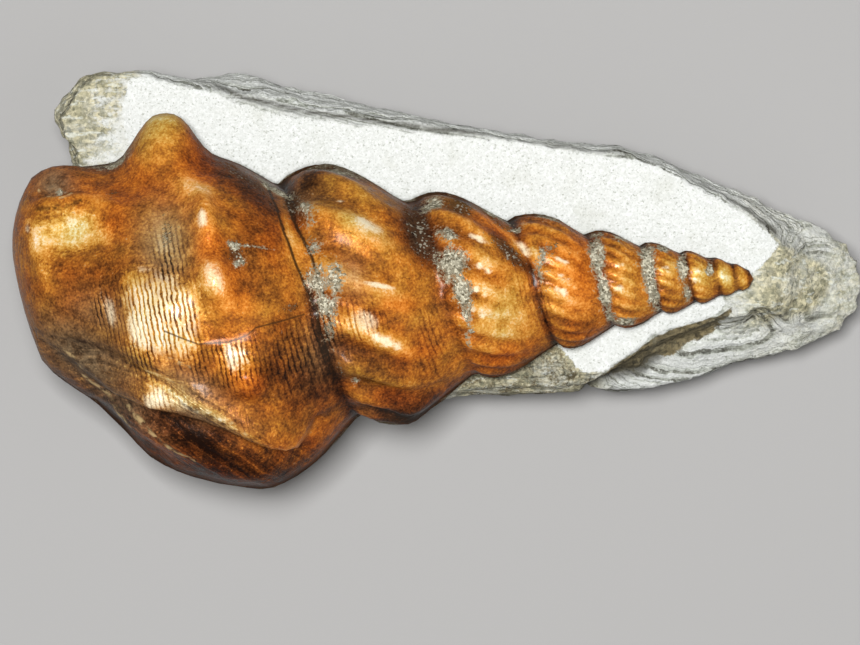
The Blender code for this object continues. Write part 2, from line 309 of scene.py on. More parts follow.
# Ridges and grooves of the last whorl: height, half width, course
folds = (
    (0.7, 1.6, ((-25.6, 9.6), (-24, 8), (-23.3, 5), (-23, 2), (-22.5, -0.6), (-21.2, -3))),
    (0.5, 0.9, ((-39.6, -4.8), (-34.1, -5.8), (-30.6, -7), (-27.6, -8.6))),
    (0.3, 0.5, ((-27.6, -8.6), (-24.6, -10.5), (-20.6, -13), (-17, -15))),
    (-0.4, 0.8, ((-39.8, -5.1), (-35.8, -6.7), (-32.2, -8), (-29.4, -9.3), (-27.1, -10.7))),
    (0.9, 1.3, (
        (-38.6, -6.6), (-35.1, -8.5), (-32.1, -10.5), (-29.1, -11.6), (-24.1, -12.1), (-19.1, -14.9),
        (-14.1, -16.1),
    )),
    (-1.2, 0.75, (
        (-39, -6.9), (-37.9, -7.6), (-35.8, -9.3), (-33.4, -11.8), (-31.6, -12.8), (-28.6, -13.8),
        (-24.2, -14.8), (-19.6, -16.5), (-17.1, -17.7), (-14.1, -17.6), (-12.3, -15.4),
    )),
    (0.55, 0.8, (
        (-36.3, -9.2), (-32.8, -13), (-31, -13.7), (-28, -15.6), (-24.9, -17.3), (-21.5, -19),
        (-17.6, -19.5),
    )),
    (-0.7, 0.6, ((-34.1, -12.5), (-31.1, -15.2), (-27.6, -17.8))),
    (0.45, 0.7, ((-40.3, 5.4), (-40.4, 3), (-39.6, 0.5))),
    (0.4, 0.7, ((-40, 7.4), (-36, 8), (-32.6, 7.4))),
    (0.22, 0.28, ((-29.6, -8.7), (-27.5, -9.5), (-25.4, -10.5), (-22.3, -13.1), (-19.2, -14.8))),
    (0.22, 0.28, ((-38.2, -7), (-35.4, -9.6), (-33.2, -12.2), (-31.2, -14.6), (-28.2, -16.6))),
    (0.32, 0.32, ((-40.9, 9.7), (-40, 8.6), (-38.9, 7.9), (-37.6, 8), (-36.4, 8.7))),
)
wrinkleCourse = (
    (-41, -4.2), (-39.6, -4.8), (-34, -5.8), (-30.5, -7.1), (-27.5, -8.7), (-24.5, -10.6),
    (-20.5, -13), (-15.5, -15.6), (-10, -17.4),
)

# Two dark cracks run down beside the last seam: x and y along each
cracks = (
    ((-17.2, 10.6), (-16.6, 9.2), (-15.7, 6), (-14.3, 2), (-13.4, -0.6), (-12.3, -3.4)),
    ((-15.6, 10.6), (-15, 8.6), (-14.2, 6.4), (-12.9, 3), (-11.7, -1.6), (-10.7, -5.6)),
)

# Thin painted glints along the ridges and dark clefts painted as shade, along the folds
paleRidges = (
    ((-40.9, 9.5), (-40, 8.6), (-38.9, 7.9), (-37.6, 7.9), (-36.4, 8.6)),
    ((-37.9, -6.4), (-36.5, -7.4), (-34.8, -9.8)),
    ((-35.9, -9.4), (-33.4, -11.6), (-31.8, -13.9), (-30.3, -15.4)),
    ((-31.6, -13), (-29.8, -14.2), (-28.1, -15.6), (-26.5, -16.7), (-24.5, -17.6)),
    ((-30.1, -8.6), (-28.3, -9.1), (-26.5, -10.1), (-24.8, -11.4), (-23, -12.6), (-20.8, -13.6),
     (-18.7, -14.9)),
    ((-27.8, -7.3), (-26.5, -7.9), (-25.1, -8.6)),
)
# the dark lines in the clefts under the ridges are painted shade
darkClefts = (
    ((-37.9, -4.9), (-36, -5.9), (-33.9, -6.9), (-31.2, -7.6)),
    ((-37, -7.6), (-35.4, -9), (-33.4, -11.2), (-31.2, -12.6), (-28.6, -13.1)),
    ((-32.9, -13.3), (-31, -15.6), (-28.4, -17.9)),
    ((-27.4, -10.3), (-25.4, -12), (-22.6, -13.3), (-19.6, -14.9)),
    ((-40.4, 7), (-38, 7.2), (-35.9, 7.8)),
)

# The outer layer has flaked off above this line and keeps its threads below it
flake = dict(
    depth=0.16,
    edge=(
        (-32.5, -2.4), (-30.5, -3.5), (-28.2, -4.6), (-24.2, -6.3), (-20.9, -6.1), (-19.3, -5.4),
        (-18.6, -4.7), (-15.5, -3.9), (-12.4, -2.9),
    ),
)
# An old lip: the shell steps down in front of it
oldLip = dict(
    depth=0.22,
    edge=(
        (-31.8, 1.8), (-32, 0), (-31.6, -3), (-31, -5.6), (-29.9, -8), (-29.2, -9.4),
        (-29.2, -11.6), (-28.4, -13.4),
    ),
)

# The shell's tone, from 0, dark, to 1, pale: what each of its features adds. The rib crests and raised
# relief are painted lighter and the grooves darker, as painted light and shade, and the sides that turn
# steeply down are painted darker, as painted shade
toneShares = dict(
    base=0.41, ribs=0.22, height=0.05, horn=0.36, apex=0.05, seam=-0.35, sides=-0.2, under=0.16
)

# Where it is lighter (more than 0) or darker besides: x, y, amount, half sizes, lean. Some rows are the
# shell's own tone; many lighten the spots where highlights fall, as painted highlights, and others darken
# grooves and lower slopes, as painted shade
tones = (
    (-36.4, 5, 0.22, 3.2, 1.9, 12), (-40.2, 3, 0.26, 0.5, 2.8, 12), (-36.8, 6.2, 0.16, 1.2, 0.6, 0),
    (-24.4, 8.8, 0.42, 1.8, 1.1, -20), (-23.2, 5.6, 0.16, 0.9, 2.2, 8), (-22.6, -0.2, 0.32, 1.2, 2.2, 28),
    (-19, 9.4, -0.24, 5.2, 1.4, -24), (-16.5, 5.5, -0.04, 2.2, 4.5, 12), (-28, -2.8, 0.12, 3.6, 2.4, -28),
    (-30.2, -4.8, 0.26, 1.2, 3, 12), (-26.6, -6, 0.16, 3, 1.5, -32), (-20.6, -7.8, 0.26, 1.6, 1.3, -30),
    (-27.6, -11.4, 0.14, 2, 1.2, -20), (-19.4, -9.9, 0.06, 1.8, 1.4, -20),
    (-23.6, -12.2, 0.16, 4.2, 0.5, -28), (-27.5, -9.5, 0.3, 2.2, 0.2, -24),
    (-22.3, -13.1, 0.32, 3.2, 0.22, -28), (-27.8, -10.1, -0.14, 2.2, 0.25, -24),
    (-22.8, -13.8, -0.12, 3, 0.25, -28), (-35.6, -7.2, -0.2, 5, 2.6, -30),
    (-32.6, -13.6, -0.16, 5, 1.5, -42), (-16, -16.5, 0.22, 4.6, 0.7, 4), (-20, -19, -0.2, 6.5, 1.7, -6),
    (-24, -17.6, -0.16, 5, 1.4, -24), (-38.6, 9.4, -0.04, 1.7, 0.9, 0), (-29.4, 0.7, -0.14, 2.6, 1, 0),
    (-35, 0.6, -0.1, 3.4, 2, -10), (-34, -3, -0.1, 3, 2, 0), (-25, -15.6, -0.34, 6, 1, -24),
    (-15.6, -9.8, -0.14, 4.2, 3.4, -15), (-11.8, -11, -0.16, 2.4, 4, 0), (-24, -10.6, -0.06, 3.4, 1, -28),
    (-7.4, 5.7, 0.32, 2.4, 1.4, -24), (-5.4, -0.9, 0.26, 2, 0.8, -18), (-5.6, -6, 0.22, 3, 0.9, -30),
    (-8.6, -3.8, 0.24, 1.6, 1.2, -20), (-4.4, -10.8, 0.12, 2.6, 0.6, -6),
    (-10.4, 9.6, -0.06, 4.4, 1.4, -10), (-6.5, -9, -0.14, 4.2, 1.2, -20), (-11, 1.4, 0.12, 1.6, 4.5, 15),
    (-2.4, 5.4, -0.3, 1.6, 3.8, 16), (-5, 2.6, 0.1, 3, 1.8, -20), (0.6, -3.2, -0.02, 1.2, 4, 12),
    (3.4, 7.6, -0.08, 3.4, 1, -15), (4.3, 4.3, 0.2, 1.5, 0.7, -24), (4.6, 1.6, 0.24, 1.4, 0.7, -35),
    (4.3, -1, 0.28, 1.4, 0.6, -38), (4.2, -3.4, 0.22, 1.4, 0.6, -38), (6.5, -4.6, 0.22, 3, 2.8, -20),
    (6.4, 0.4, 0.12, 2.6, 2.6, -20), (-3.4, -13, -0.42, 3.6, 1.3, 0), (6.9, 3.3, -0.2, 0.9, 3.2, 45),
    (12.4, 0.6, 0.26, 1.3, 2.6, 0), (13.4, -2.6, 0.14, 1.8, 2.2, 10), (18.2, 1.4, 0.2, 1, 1.8, 0),
    (18.6, -1.6, 0.16, 1, 1.6, 0), (22.8, 0.8, 0.26, 0.9, 1.8, 0), (25.8, 0.6, 0.32, 0.9, 1.4, 0),
    (28.2, 0.4, 0.34, 0.9, 1.1, 0), (30, 0.1, 0.18, 1, 1.2, 0), (-14.6, 5.6, 0.22, 0.6, 3, 18),
    (-13.4, 1.4, 0.22, 0.6, 2, 18), (-27.4, 4.2, 0.16, 2, 3.2, 10), (6.2, -7.6, -0.12, 2.6, 1.2, 20),
    (-16.2, 1.6, 0.1, 1.4, 2.6, 15), (-20.6, -3.6, 0.04, 3.6, 1.6, 0), (-18.4, -2.6, 0.08, 2.6, 1, -10),
    (-13, 10.6, -0.2, 1.2, 1, 0), (8.5, 3.7, 0.34, 0.6, 1.8, 40), (-18.6, 2.6, -0.06, 2, 5, 10),
    (-14.5, 5.6, 0.32, 1.1, 3.4, 18), (-6, 1, 0.05, 4.4, 8, 15), (-9, 9.4, 0.1, 4, 1.4, -8),
    (4.4, 7, 0.1, 3.4, 1, -22), (13.4, -4.8, -0.12, 2.6, 1.2, 12), (8.9, 2.6, 0.12, 0.8, 1.8, 40),
    (-33.7, -2.6, 0.2, 0.7, 2.2, 12), (-34.2, 8, 0.1, 1.6, 0.8, 10), (-27.6, 3.4, 0.1, 1, 1.2, 0),
)

# Where it is redder (more than 0) or more olive, in the same way
warmths = (
    (-24.2, 10.8, 0.9, 1.8, 1.8, 0), (-29.5, 9, 0.5, 3, 1.4, 0), (-21.4, -0.6, 0.8, 1.5, 2.8, 14),
    (-23, 3, 0.7, 1.4, 2.6, 8), (-19.2, -10.2, 1, 1.8, 1.2, -20), (-15, -16.6, 0.9, 3.2, 0.9, 0),
    (-34.6, 8.4, 0.7, 1.8, 1.2, 0), (-32.6, 5.6, 0.7, 1, 1.6, 0), (-4.6, -11.6, 0.5, 3.2, 0.8, -6),
    (-3.7, -2.3, 0.7, 1.8, 1, -20), (-2.4, -7.6, 0.8, 2.2, 0.9, 0), (5.2, -0.2, 0.3, 1.6, 1.2, -30),
    (6.2, -7.6, 0.8, 2.6, 1, 20), (5.6, 5.8, 0.7, 2.6, 0.8, -24), (13.5, 0, 0.9, 2, 4.6, 10),
    (19.6, -1, -0.1, 1.2, 3, 8), (23.4, 0, -0.1, 0.9, 2.4, 4), (28, 0.4, -0.6, 3, 2, 0),
    (-30, -15, 0.5, 4, 0.8, -40), (-23, -18.6, 0.4, 6, 0.8, -20), (-16.8, 5, 0.4, 1.6, 3.2, 12),
    (-12.3, 9.6, -0.8, 3.6, 1.6, -8), (-5, 9, -0.6, 3, 1.2, -28), (-35.6, -7.2, -1, 5, 3, -30),
    (-28, -9.6, -0.5, 5, 1.4, -28), (-28, -2, -0.5, 4.4, 3.2, 0), (-37, 5, -0.6, 3.4, 2, 12),
    (1.6, 8, -0.7, 3, 1, -10), (6.6, -3, -0.4, 2.6, 2.2, 0), (-8, -9.4, -0.7, 3.6, 1.4, -20),
    (-27.6, 3.8, -0.9, 2.2, 3.4, 5), (-9, 5.8, -0.5, 2, 1.2, -20), (-23.6, -12.6, -0.7, 4.2, 0.8, -28),
    (-14, -8, -0.3, 3, 3, 0),
)

# Painted highlights: spots where the colour is mixed towards a pale highlight colour, in the same way
gleams = (
    (-23.8, 5.3, 0.9, 0.35, 1.1, 23), (8.4, 3.8, 0.8, 0.5, 1.7, 40), (-22.6, -0.15, 0.66, 1, 2, 28),
    (-31, -4.3, 0.9, 0.5, 1.8, 8), (-33.3, -2.6, 0.78, 0.6, 2.2, 12), (-29.6, 1, 0.5, 0.9, 0.6, 0),
    (-29.9, -5.2, 0.62, 1.1, 1.8, 12), (-28.5, -11.3, 1, 0.9, 1, -20), (-20.8, -7.6, 1, 0.7, 1.5, 20),
    (-41, 5, 0.9, 0.4, 0.8, 10), (-36.9, 6.3, 0.62, 1, 0.5, 0), (-25.2, -12.2, 0.6, 1.6, 0.5, -28),
    (-7.7, 5.9, 1, 0.9, 0.6, -15), (-6.9, 5.4, 0.7, 1.4, 0.9, -20), (-6.1, -0.5, 1, 1.7, 0.32, -10),
    (-5.6, -5.9, 1, 2.2, 0.42, -28), (-7.5, -4.1, 0.66, 1.7, 1.2, -30), (-3.3, -11.4, 1, 0.2, 0.2, 0),
    (-9.8, 8.3, 0.8, 0.4, 0.2, 0), (4.3, 1.3, 0.95, 1, 0.3, -38), (3.6, -0.9, 1, 1.3, 0.28, -36),
    (3.7, -3.2, 0.95, 1.2, 0.28, -36), (3.8, 4.3, 0.85, 1.2, 0.34, -24), (12.1, 2, 0.95, 0.9, 0.3, -25),
    (12.3, 0.4, 0.85, 0.8, 0.18, -30), (12.1, -1.1, 1, 0.8, 0.4, -40), (17.9, 1.5, 0.75, 0.4, 0.35, 0),
    (17.8, -0.8, 0.85, 0.5, 0.45, 0), (22.5, 1.3, 0.75, 0.45, 0.3, 0), (25.5, 0, 0.7, 0.4, 0.4, 0),
    (28.2, 0.4, 0.9, 0.35, 0.3, 0), (-4.9, -6.5, 0.9, 1.4, 0.18, -24),
)

# Pale places with a sharp, ragged edge, where a layer of the shell has come away: corners
paleAreas = (
    ((-31.1, 1.7), (-29.3, 1.7), (-26.7, 0.5), (-24.3, -0.7), (-23.5, -3.1), (-23.3, -5.4), (-24.2, -6.3),
     (-25.2, -8.5), (-27.7, -7.7), (-30, -7), (-31.1, -6.2), (-31.4, -3.6), (-32, -1.3), (-31.9, 0.5)),
    ((-29.4, -9.9), (-27.8, -9.8), (-26.5, -10.8), (-25.4, -11.6), (-25.4, -13), (-27.3, -12.5),
     (-29.2, -12.2)),
    ((-22.3, -6.3), (-19.4, -5.9), (-18.9, -7.2), (-19.6, -8.8), (-20.8, -8.5), (-22, -7.4)),
    ((-41.3, 6.1), (-40.2, 6.4), (-37.9, 6.8), (-36.4, 7.2), (-34.3, 6.6), (-32.7, 5.3), (-32.8, 3.8),
     (-34.2, 4.2), (-35.7, 3.4), (-37.6, 2.8), (-38.6, 1.8), (-39, 0.2), (-40, 1.8), (-41, 3.2)),
)

# Where the amber turns to a duller, greyer brown: x, y, amount, half sizes, lean
dulls = (
    (-27.6, 3.8, 0.9, 2.2, 3.4, 5), (-36, -7.4, 0.9, 5.4, 2.6, -28), (-32, -12.4, 0.8, 4.5, 2, -42),
    (-38.6, 9.4, 1, 1.7, 0.9, 0), (-25, -13, 0.8, 5, 1.6, -20), (-17.5, 11, 0.4, 5, 1.4, -24),
    (-25, -10.6, 0.6, 4, 1.6, -28), (-3.5, -13.5, 0.3, 4, 1, 0), (-33.6, -3.4, 0.4, 4, 2, -10),
    (-12, -7.6, 0.35, 2, 4, 0), (-8.9, 0.4, 0.5, 1.3, 2.2, 15),
)

# Dark, dirty places in the seams: x, y, amount, half sizes, lean
grimes = (
    (-2.2, 5.6, 0.85, 1.4, 3.8, 16), (6.9, 3.1, 0.85, 0.8, 3.2, 45), (-14.6, 9.4, 0.75, 0.8, 1.4, 20),
    (-14.9, 7.2, 0.5, 0.5, 2.6, 16), (-19.5, 10.8, 0.5, 4.5, 0.8, -22),
    (-24.4, 12.4, 0.55, 0.9, 0.7, -30), (2, 7.4, 0.75, 1.8, 0.9, -20), (5.8, 6.6, 0.62, 2.8, 0.6, -30),
    (-12.9, 4.6, 0.5, 0.6, 1.2, 20), (-32.6, 9, 0.55, 1, 0.6, 20), (-38.4, 8.2, 0.4, 1.6, 0.4, 20),
    (-20.6, 2.9, 0.85, 0.8, 1.4, -15), (15.6, 5, 0.6, 0.9, 1, 0), (-9.8, -9.6, 0.55, 0.9, 1.4, 20),
    (-27.2, 4.6, 0.45, 1, 2.4, 5), (-15, -2.6, 0.65, 1.1, 0.6, 10), (9.8, -3.4, 0.45, 0.5, 2.4, 8),
    (-0.6, 3.4, 0.6, 0.9, 2.2, 10), (-15.4, -5.4, 0.35, 1.4, 0.7, 10), (11.2, 3.4, 0.5, 0.8, 1, 0),
)

# Grains of the block still stuck to the shell: x, y, amount, half sizes, lean
crusts = (
    (-20.6, 3.5, 0.75, 0.7, 0.5, -15), (-20.1, 1.9, 0.75, 0.6, 0.9, -15),
    (-18.4, 3.6, 0.64, 2.2, 0.2, -1), (-12.4, 0.4, 0.68, 1.4, 2, 20), (-11.5, -2.4, 0.66, 1.3, 2.2, 20),
    (-13.4, 7.8, 0.58, 0.8, 2, 22), (-12.7, 4.2, 0.58, 0.9, 1.2, 10), (-10.4, 0.2, 0.55, 1.2, 2.6, 15),
    (-11.2, -5.4, 0.52, 0.8, 1.8, 15), (1.2, 1.8, 0.85, 1.6, 2, 10), (0.6, 4.9, 0.72, 1.8, 0.7, -35),
    (2.2, -1, 0.8, 1, 2.4, 15), (2.6, -4.2, 0.72, 0.5, 2.8, 10), (7.6, 6, 0.58, 0.9, 0.4, -10),
    (10.4, 2.7, 0.75, 0.5, 1.3, 10), (10.2, 0.4, 0.58, 0.5, 2.2, 12), (15.7, 2.6, 0.78, 0.85, 3, 6),
    (16.4, -1.4, 0.82, 0.7, 2.4, 6), (16.9, -3.6, 0.72, 0.5, 1.6, 8), (20.7, 1.8, 0.85, 0.8, 2.6, 5),
    (21.3, -1.4, 0.82, 0.62, 2.4, 5), (24.2, 1.4, 0.82, 0.55, 1.8, 4), (24.6, -1.2, 0.74, 0.42, 1.4, 4),
    (26.9, 1.2, 0.74, 0.4, 1.2, 0), (-37.9, 8.9, 0.5, 0.9, 0.4, 10), (-8.4, -10.6, 0.55, 0.6, 0.5, 0),
    (-9.6, 11, 0.65, 4.2, 0.45, -8), (-16.6, 10.9, 0.66, 2.4, 0.5, -20), (-33, 11.4, 0.62, 2.6, 0.35, 2),
    (-0.8, 8.2, 0.66, 1.5, 0.7, -10), (5.4, 7.3, 0.58, 2, 0.35, -20), (10.5, 6.4, 0.66, 1.6, 0.45, -15),
    (18.4, -4.3, 0.7, 1.6, 0.45, 18), (18, 4.3, 0.6, 1.2, 0.4, -10), (-27.8, 4.4, 0.42, 0.6, 1.2, 5),
    (22.2, 3.2, 0.7, 0.9, 0.45, -10),
)

# Where the threads stand out: x, y, amount, half sizes, lean
threadPlaces = (
    (-27.4, -3.6, 1, 4.6, 3.2, -25), (-29.6, -6.4, 0.9, 1.8, 2.8, 0), (-33.7, -2.8, 0.9, 0.8, 2.6, 12),
    (-20.6, -8, 0.9, 2.6, 2.2, -30), (-14.5, -8, 0.45, 3.4, 3.8, -20), (-27.8, -11.5, 0.6, 2, 1.2, -20),
    (-8.2, -4.2, 0.55, 2.6, 2, -28), (-27.2, 1.8, 0.85, 1.6, 3.6, 0), (-11.4, -4.5, 0.8, 1.2, 3, 10),
    (-21.5, -13.6, 0.2, 6, 1.6, -25), (-17, 1, 0.12, 3, 6, 10), (-1, -7, 0.35, 1.6, 4, 0),
    (9.6, -2, 0.4, 0.9, 3.4, 8), (-24.5, -8, 0.5, 3, 2, -30), (8.6, -1, 0.25, 1, 3, 0),
)


def seamDistance(turn):
    return shell["seamScale"] * (shell["growth"] ** turn - shell["seamStart"])


def turnAt(distance):
    return np.log(distance / shell["seamScale"] + shell["seamStart"]) / math.log(shell["growth"])


def swellOf(turn):
    power = math.log(0.5) / math.log(shell["swellPlace"])
    roundTurn = np.sin(np.pi * np.mod(turn, 1.0) ** power) ** shell["swellFullness"]
    ramp = np.sin(np.pi / 2 * np.clip((turn - shell["lastSeam"]) / shell["lastWhorlRamp"], 0, 1)) ** 0.9
    return np.where(turn < shell["lastSeam"], roundTurn, ramp)


def ribsOf(at):  # the wave of the ribs, and how strong it is
    grown = np.floor(at.turn) + at.angle / (2 * np.pi) - shell["ribSlant"] * (at.share - 0.5)
    turns, counts = np.array(shell["ribCounts"]).T
    before = np.concatenate([[0], np.cumsum(np.diff(turns) * (counts[1:] + counts[:-1]) / 2)])
    count = np.interp(grown, turns, before) - np.interp(7.0, turns, before)
    strength = span((0.05, 0.3), (0.86, 1.0), at.share) * (0.25 + 0.75 * ease(0.3, 0.62, at.share))
    strength = strength * ease(1.2, 3.0, at.turn) * (0.4 + 0.6 * ease(0, 0.8, at.facing))
    return 0.5 + 0.5 * np.cos(2 * np.pi * count), np.where(at.turn < shell["lastSeam"], strength, 0.0)


def coilSteps():  # turns along the coil, closer together at its two ends, with one on every seam
    along = np.linspace(0, 1, shell["steps"] - shell["endSteps"])
    distance = (shell["length"] - shell["bluntEnd"]) * (0.5 * along + 0.5 * along**2)
    distance[1:4] = shell["tipSteps"]
    toEnd = 1 - np.arange(1, shell["endSteps"] + 1) / (shell["endSteps"] + 1)
    distance = np.concatenate([distance, shell["length"] - shell["bluntEnd"] * toEnd**2])
    turns = turnAt(np.maximum(distance, 0.03))
    for seam in range(1, shell["lastSeam"] + 1):
        turns[np.argmin(np.abs(turns - seam))] = seam
    return turns


def angleOf(column):  # the columns lie closer together on the side that shows
    shown = math.radians(shell["shownDegrees"])
    half = shell["shownColumns"] / 2
    signed = np.where(column > 0.5, column - 1, column)
    buried = shown + (np.abs(signed) - half) / (0.5 - half) * (np.pi - shown)
    return np.where(np.abs(signed) < half, signed / half * shown, np.sign(signed) * buried)


def coilShift(angle):  # what a ring gains as it follows the coil, and loses again on the buried side
    shown = math.radians(shell["shownDegrees"])
    back = np.clip((np.pi - np.abs(angle)) / (np.pi - shown), 0, 1)
    return np.where(np.abs(angle) < shown, angle, np.sign(angle) * shown * back) / (2 * np.pi)


def coilPlaces(ring, column):  # where each point lies on the coil, and where the photo shows it
    at = SimpleNamespace(angle=angleOf(column))
    ringTurn = np.interp(ring, np.linspace(0, 1, shell["steps"]), coilSteps())
    follow = span((0.2, 2.0), (8.3, 9.3), ringTurn)
    at.distance = np.clip(seamDistance(ringTurn + coilShift(at.angle) * follow), 0.0, shell["length"])
    at.turn = turnAt(at.distance) - at.angle / (2 * np.pi)
    at.share = np.mod(at.turn, 1.0)
    at.facing, at.side = np.cos(at.angle), np.sin(at.angle)
    at.showing = ease(-0.05, 0.3, at.facing)
    at.under = 1 - ease(-0.15, 0.25, at.facing)
    at.lastWhorl = ease(8.0, 8.1, at.turn) * at.showing
    far, near = [smoothCurve(shell["edges"], side, at.distance) for side in (1, 2)]
    at.centre, at.smooth = (far + near) / 2, (far - near) / 2
    leanTurns, farLeans, nearLeans = np.array(shell["leans"]).T
    farLean = np.interp(at.turn, leanTurns, farLeans) * ease(0.2, 1.0, at.side)
    nearLean = np.interp(at.turn, leanTurns, nearLeans) * ease(0.0, 1.0, -at.side)
    at.x = shell["apexX"] - at.distance + farLean + nearLean
    skin = np.stack([at.x, at.centre + at.smooth * at.side, axisHeight + at.smooth * at.facing], axis=-1)
    at.seen = fromAbove(*skin.T)
    at.coarse = lumps(skin, 4.0, 3, 41.0)
    around = (at.angle - math.radians(horn["degrees"])) * at.smooth
    at.horn = patch(at.distance, around, horn["place"], 0.0, horn["halfLength"], horn["halfWidth"], 0.0, 1.5)
    return at


def wrinklesOf(at):  # the place across the wrinkles, and how strong they are
    place = sideOfCourse(at.seen[1], at.seen[0], [(y, x) for x, y in wrinkleCourse])
    strength = (1 - ease(-1.8, 0.8, place)) * (1 - ease(-13.0, -10.0, at.seen[0])) * at.lastWhorl
    strength = strength * (0.6 + patch(*at.seen, -23.4, -12.2, 4.6, 1.4, -28.0)) * ease(0.15, 0.5, at.facing)
    strength = strength * (1 - 0.7 * patch(*at.seen, -24.6, -14.2, 4.0, 1.2, -20.0))
    growthLine = at.angle * at.smooth / 1.4    # on the lower side they run from seam to seam
    lowerStrength = 0.5 * (1 - ease(-0.15, 0.1, at.facing)) * ease(7.0, 8.5, at.turn)
    upper = at.facing > 0.12
    return np.where(upper, place, growthLine), np.where(upper, strength, lowerStrength)


def reliefOf(at):  # what the knobs, folds, cracks, layers, grains and wrinkles add to the radius
    seenX, seenY = at.seen
    ridges = sum(rise * nearness(gapToCourse(*at.seen, course), width) for rise, width, course in folds)
    height = (patchSum(*at.seen, knobs, 1.5) + ridges) * at.showing + horn["rise"] * at.horn

    at.crackGaps = [sideOfCourse(*at.seen, course) for course in cracks]
    crackDepth = sum(nearness(gap, 0.2) for gap in at.crackGaps) * ease(-7.0, -4.5, seenY) * at.showing
    at.aboveFlake = seenY - np.interp(seenX, *np.array(flake["edge"]).T)
    at.flaked = span((-25.0, -23.4), (-12.8, -12.2), seenX) * span((-0.1, 0.1), (3.0, 8.0), at.aboveFlake)
    at.flaked = at.flaked * at.lastWhorl
    behindLip = -sideOfCourse(*at.seen, oldLip["edge"])
    lipped = span((-14.2, -12.8), (1.0, 2.4), seenY) * span((-0.1, 0.12), (1.5, 6.0), behindLip)
    height = height - shell["crackDepth"] * crackDepth - flake["depth"] * at.flaked
    height = height - oldLip["depth"] * lipped * at.lastWhorl

    at.crust = patchMost(*at.seen, crusts) * at.showing + 0.75 * at.under * ease(0.02, 0.40, at.coarse)
    grains = at.crust * ease(0.3, 0.8, at.crust) * np.clip(at.smooth / 10, 0.3, 1)
    at.wrinkle, at.wrinkled = wrinklesOf(at)
    waves = np.cos(2 * np.pi * (at.wrinkle + 0.15 * np.sin(seenX)) / shell["wrinkleSpacing"])
    return height + shell["crustHeight"] * grains + shell["wrinkleHeight"] * at.wrinkled * waves * at.showing


def toneOf(at, ribs, height):
    turnWidth = shell["seamScale"] * shell["growth"] ** at.turn * math.log(shell["growth"])
    seamGap = np.where(at.turn < 8.5, np.minimum(at.share, 1 - at.share) * turnWidth, 5.0)
    # rib crests and raised relief painted lighter, grooves darker: painted light and shade
    tone = toneShares["base"] + toneShares["ribs"] * ribs + toneShares["height"] * np.tanh(height)
    tone = tone + toneShares["horn"] * at.horn**2 + toneShares["apex"] * ease(45.0, 20.0, at.distance)
    # patches of the shell's own tone, painted highlights and painted shade
    tone = tone + patchSum(*at.seen, tones) * at.showing + toneShares["seam"] * nearness(seamGap, 0.3)
    # the sides that turn steeply down painted darker: painted shade
    tone = tone + toneShares["sides"] * (1 - ease(0.05, 0.6, at.facing)) * at.notLow
    return tone + toneShares["under"] * at.coarse * at.under


def keepShellValues(piece, at, ribs, height):
    at.notLow = 1 - 0.75 * (1 - ease(-0.45, -0.05, at.facing))
    hidden = 5.0 * (1 - at.showing)
    paleDepth = np.max([depthInArea(*at.seen, area) for area in paleAreas], axis=0)
    thread = patchMost(*at.seen, threadPlaces) * at.showing * (1 - 0.9 * at.flaked)
    alongEdge = (at.seen[0] > -28.5) & (at.seen[0] < -12.6) & (at.lastWhorl > 0.5)
    firstGap, secondGap = [np.where(at.seen[1] > -6, gap, 5.0) + hidden for gap in at.crackGaps]
    keepValues(
        piece,
        tone=toneOf(at, ribs, height),
        warmth=patchSum(*at.seen, warmths) * at.showing - 0.8 * at.horn**2,
        # where highlights are painted into the colour
        gleam=patchMost(*at.seen, gleams, 1.6) * at.showing,
        paleDepth=np.where(at.showing > 0.5, np.maximum(paleDepth, -3.0), -3.0),
        paleRidge=np.min([gapToCourse(*at.seen, course) for course in paleRidges], axis=0) + hidden,
        darkCleft=np.min([gapToCourse(*at.seen, course) for course in darkClefts], axis=0) + hidden,
        firstCrack=firstGap,
        secondCrack=secondGap,
        flakeEdge=np.where(alongEdge, at.aboveFlake, 5.0),
        # the steep sides, which are painted dark as shade
        wall=(1 - ease(0.02, 0.30, at.facing)) * at.notLow,
        dull=np.clip(patchMost(*at.seen, dulls) * at.showing + at.under * ease(0.2, -0.4, at.coarse), 0, 1),
        grime=patchMost(*at.seen, grimes) * at.showing,
        crust=at.crust,
        thread=thread + 0.5 * at.under * ease(-0.3, 0.2, at.coarse),
        threadCount=seamDistance(at.turn) / shell["threadWidth"],
        wrinkle=at.wrinkle,
        wrinkled=at.wrinkled,
        gloss=0.25 + 0.75 * ease(0.35, 0.8, normalsOf(piece)[:, 2]),
    )


def makeShell():
    sizes = shell["columns"], shell["rings"]
    piece, ring, column, onAxis = addRingedCylinder("fossilShell", *sizes, "TRIFAN")
    at = coilPlaces(ring, column)
    closing = span((0.0, 1.5), (shell["length"] - 2.5, shell["length"]), at.distance)
    wave, strength = ribsOf(at)
    ribs = np.interp(at.turn, *np.array(shell["ribHeights"]).T) * (wave - shell["ribMiddle"]) * strength
    swell = ribs - shell["seamDepth"] * (1 - swellOf(at.turn))
    height = reliefOf(at)
    radius = at.smooth + closing * (at.smooth * swell + height)
    depth = np.where(at.facing < 0, shell["backDepth"], 1.0)
    points = np.stack([at.x, at.centre + radius * at.side, axisHeight + radius * at.facing * depth], axis=-1)
    points[onAxis & (ring < 0.5)] = (shell["apexX"], shell["edges"][0][1], axisHeight)
    points[onAxis & (ring > 0.5)] = (shell["apexX"] - shell["length"], shell["edges"][-1][1], axisHeight)
    wobble = 0.10 * lumps(points, 5.0, 2) + 0.06 * lumps(points, 1.6, 2, 9.0)
    wobble *= closing * np.clip(at.smooth / 12, 0.15, 1)
    points[:, 1] += wobble * at.side
    points[:, 2] += wobble * at.facing
    movePoints(piece, points)

    keepShellValues(piece, at, (wave - 0.5) * strength, height)
    turnFacesOut(piece)
    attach(piece, "root")
    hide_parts("shell")
    return piece


fossilShell = makeShell()
print("shell coiled, ribbed and folded:", len(fossilShell.data.polygons), "faces")


# The block: bedded shale, scraped flat beside the shell and broken at its sides

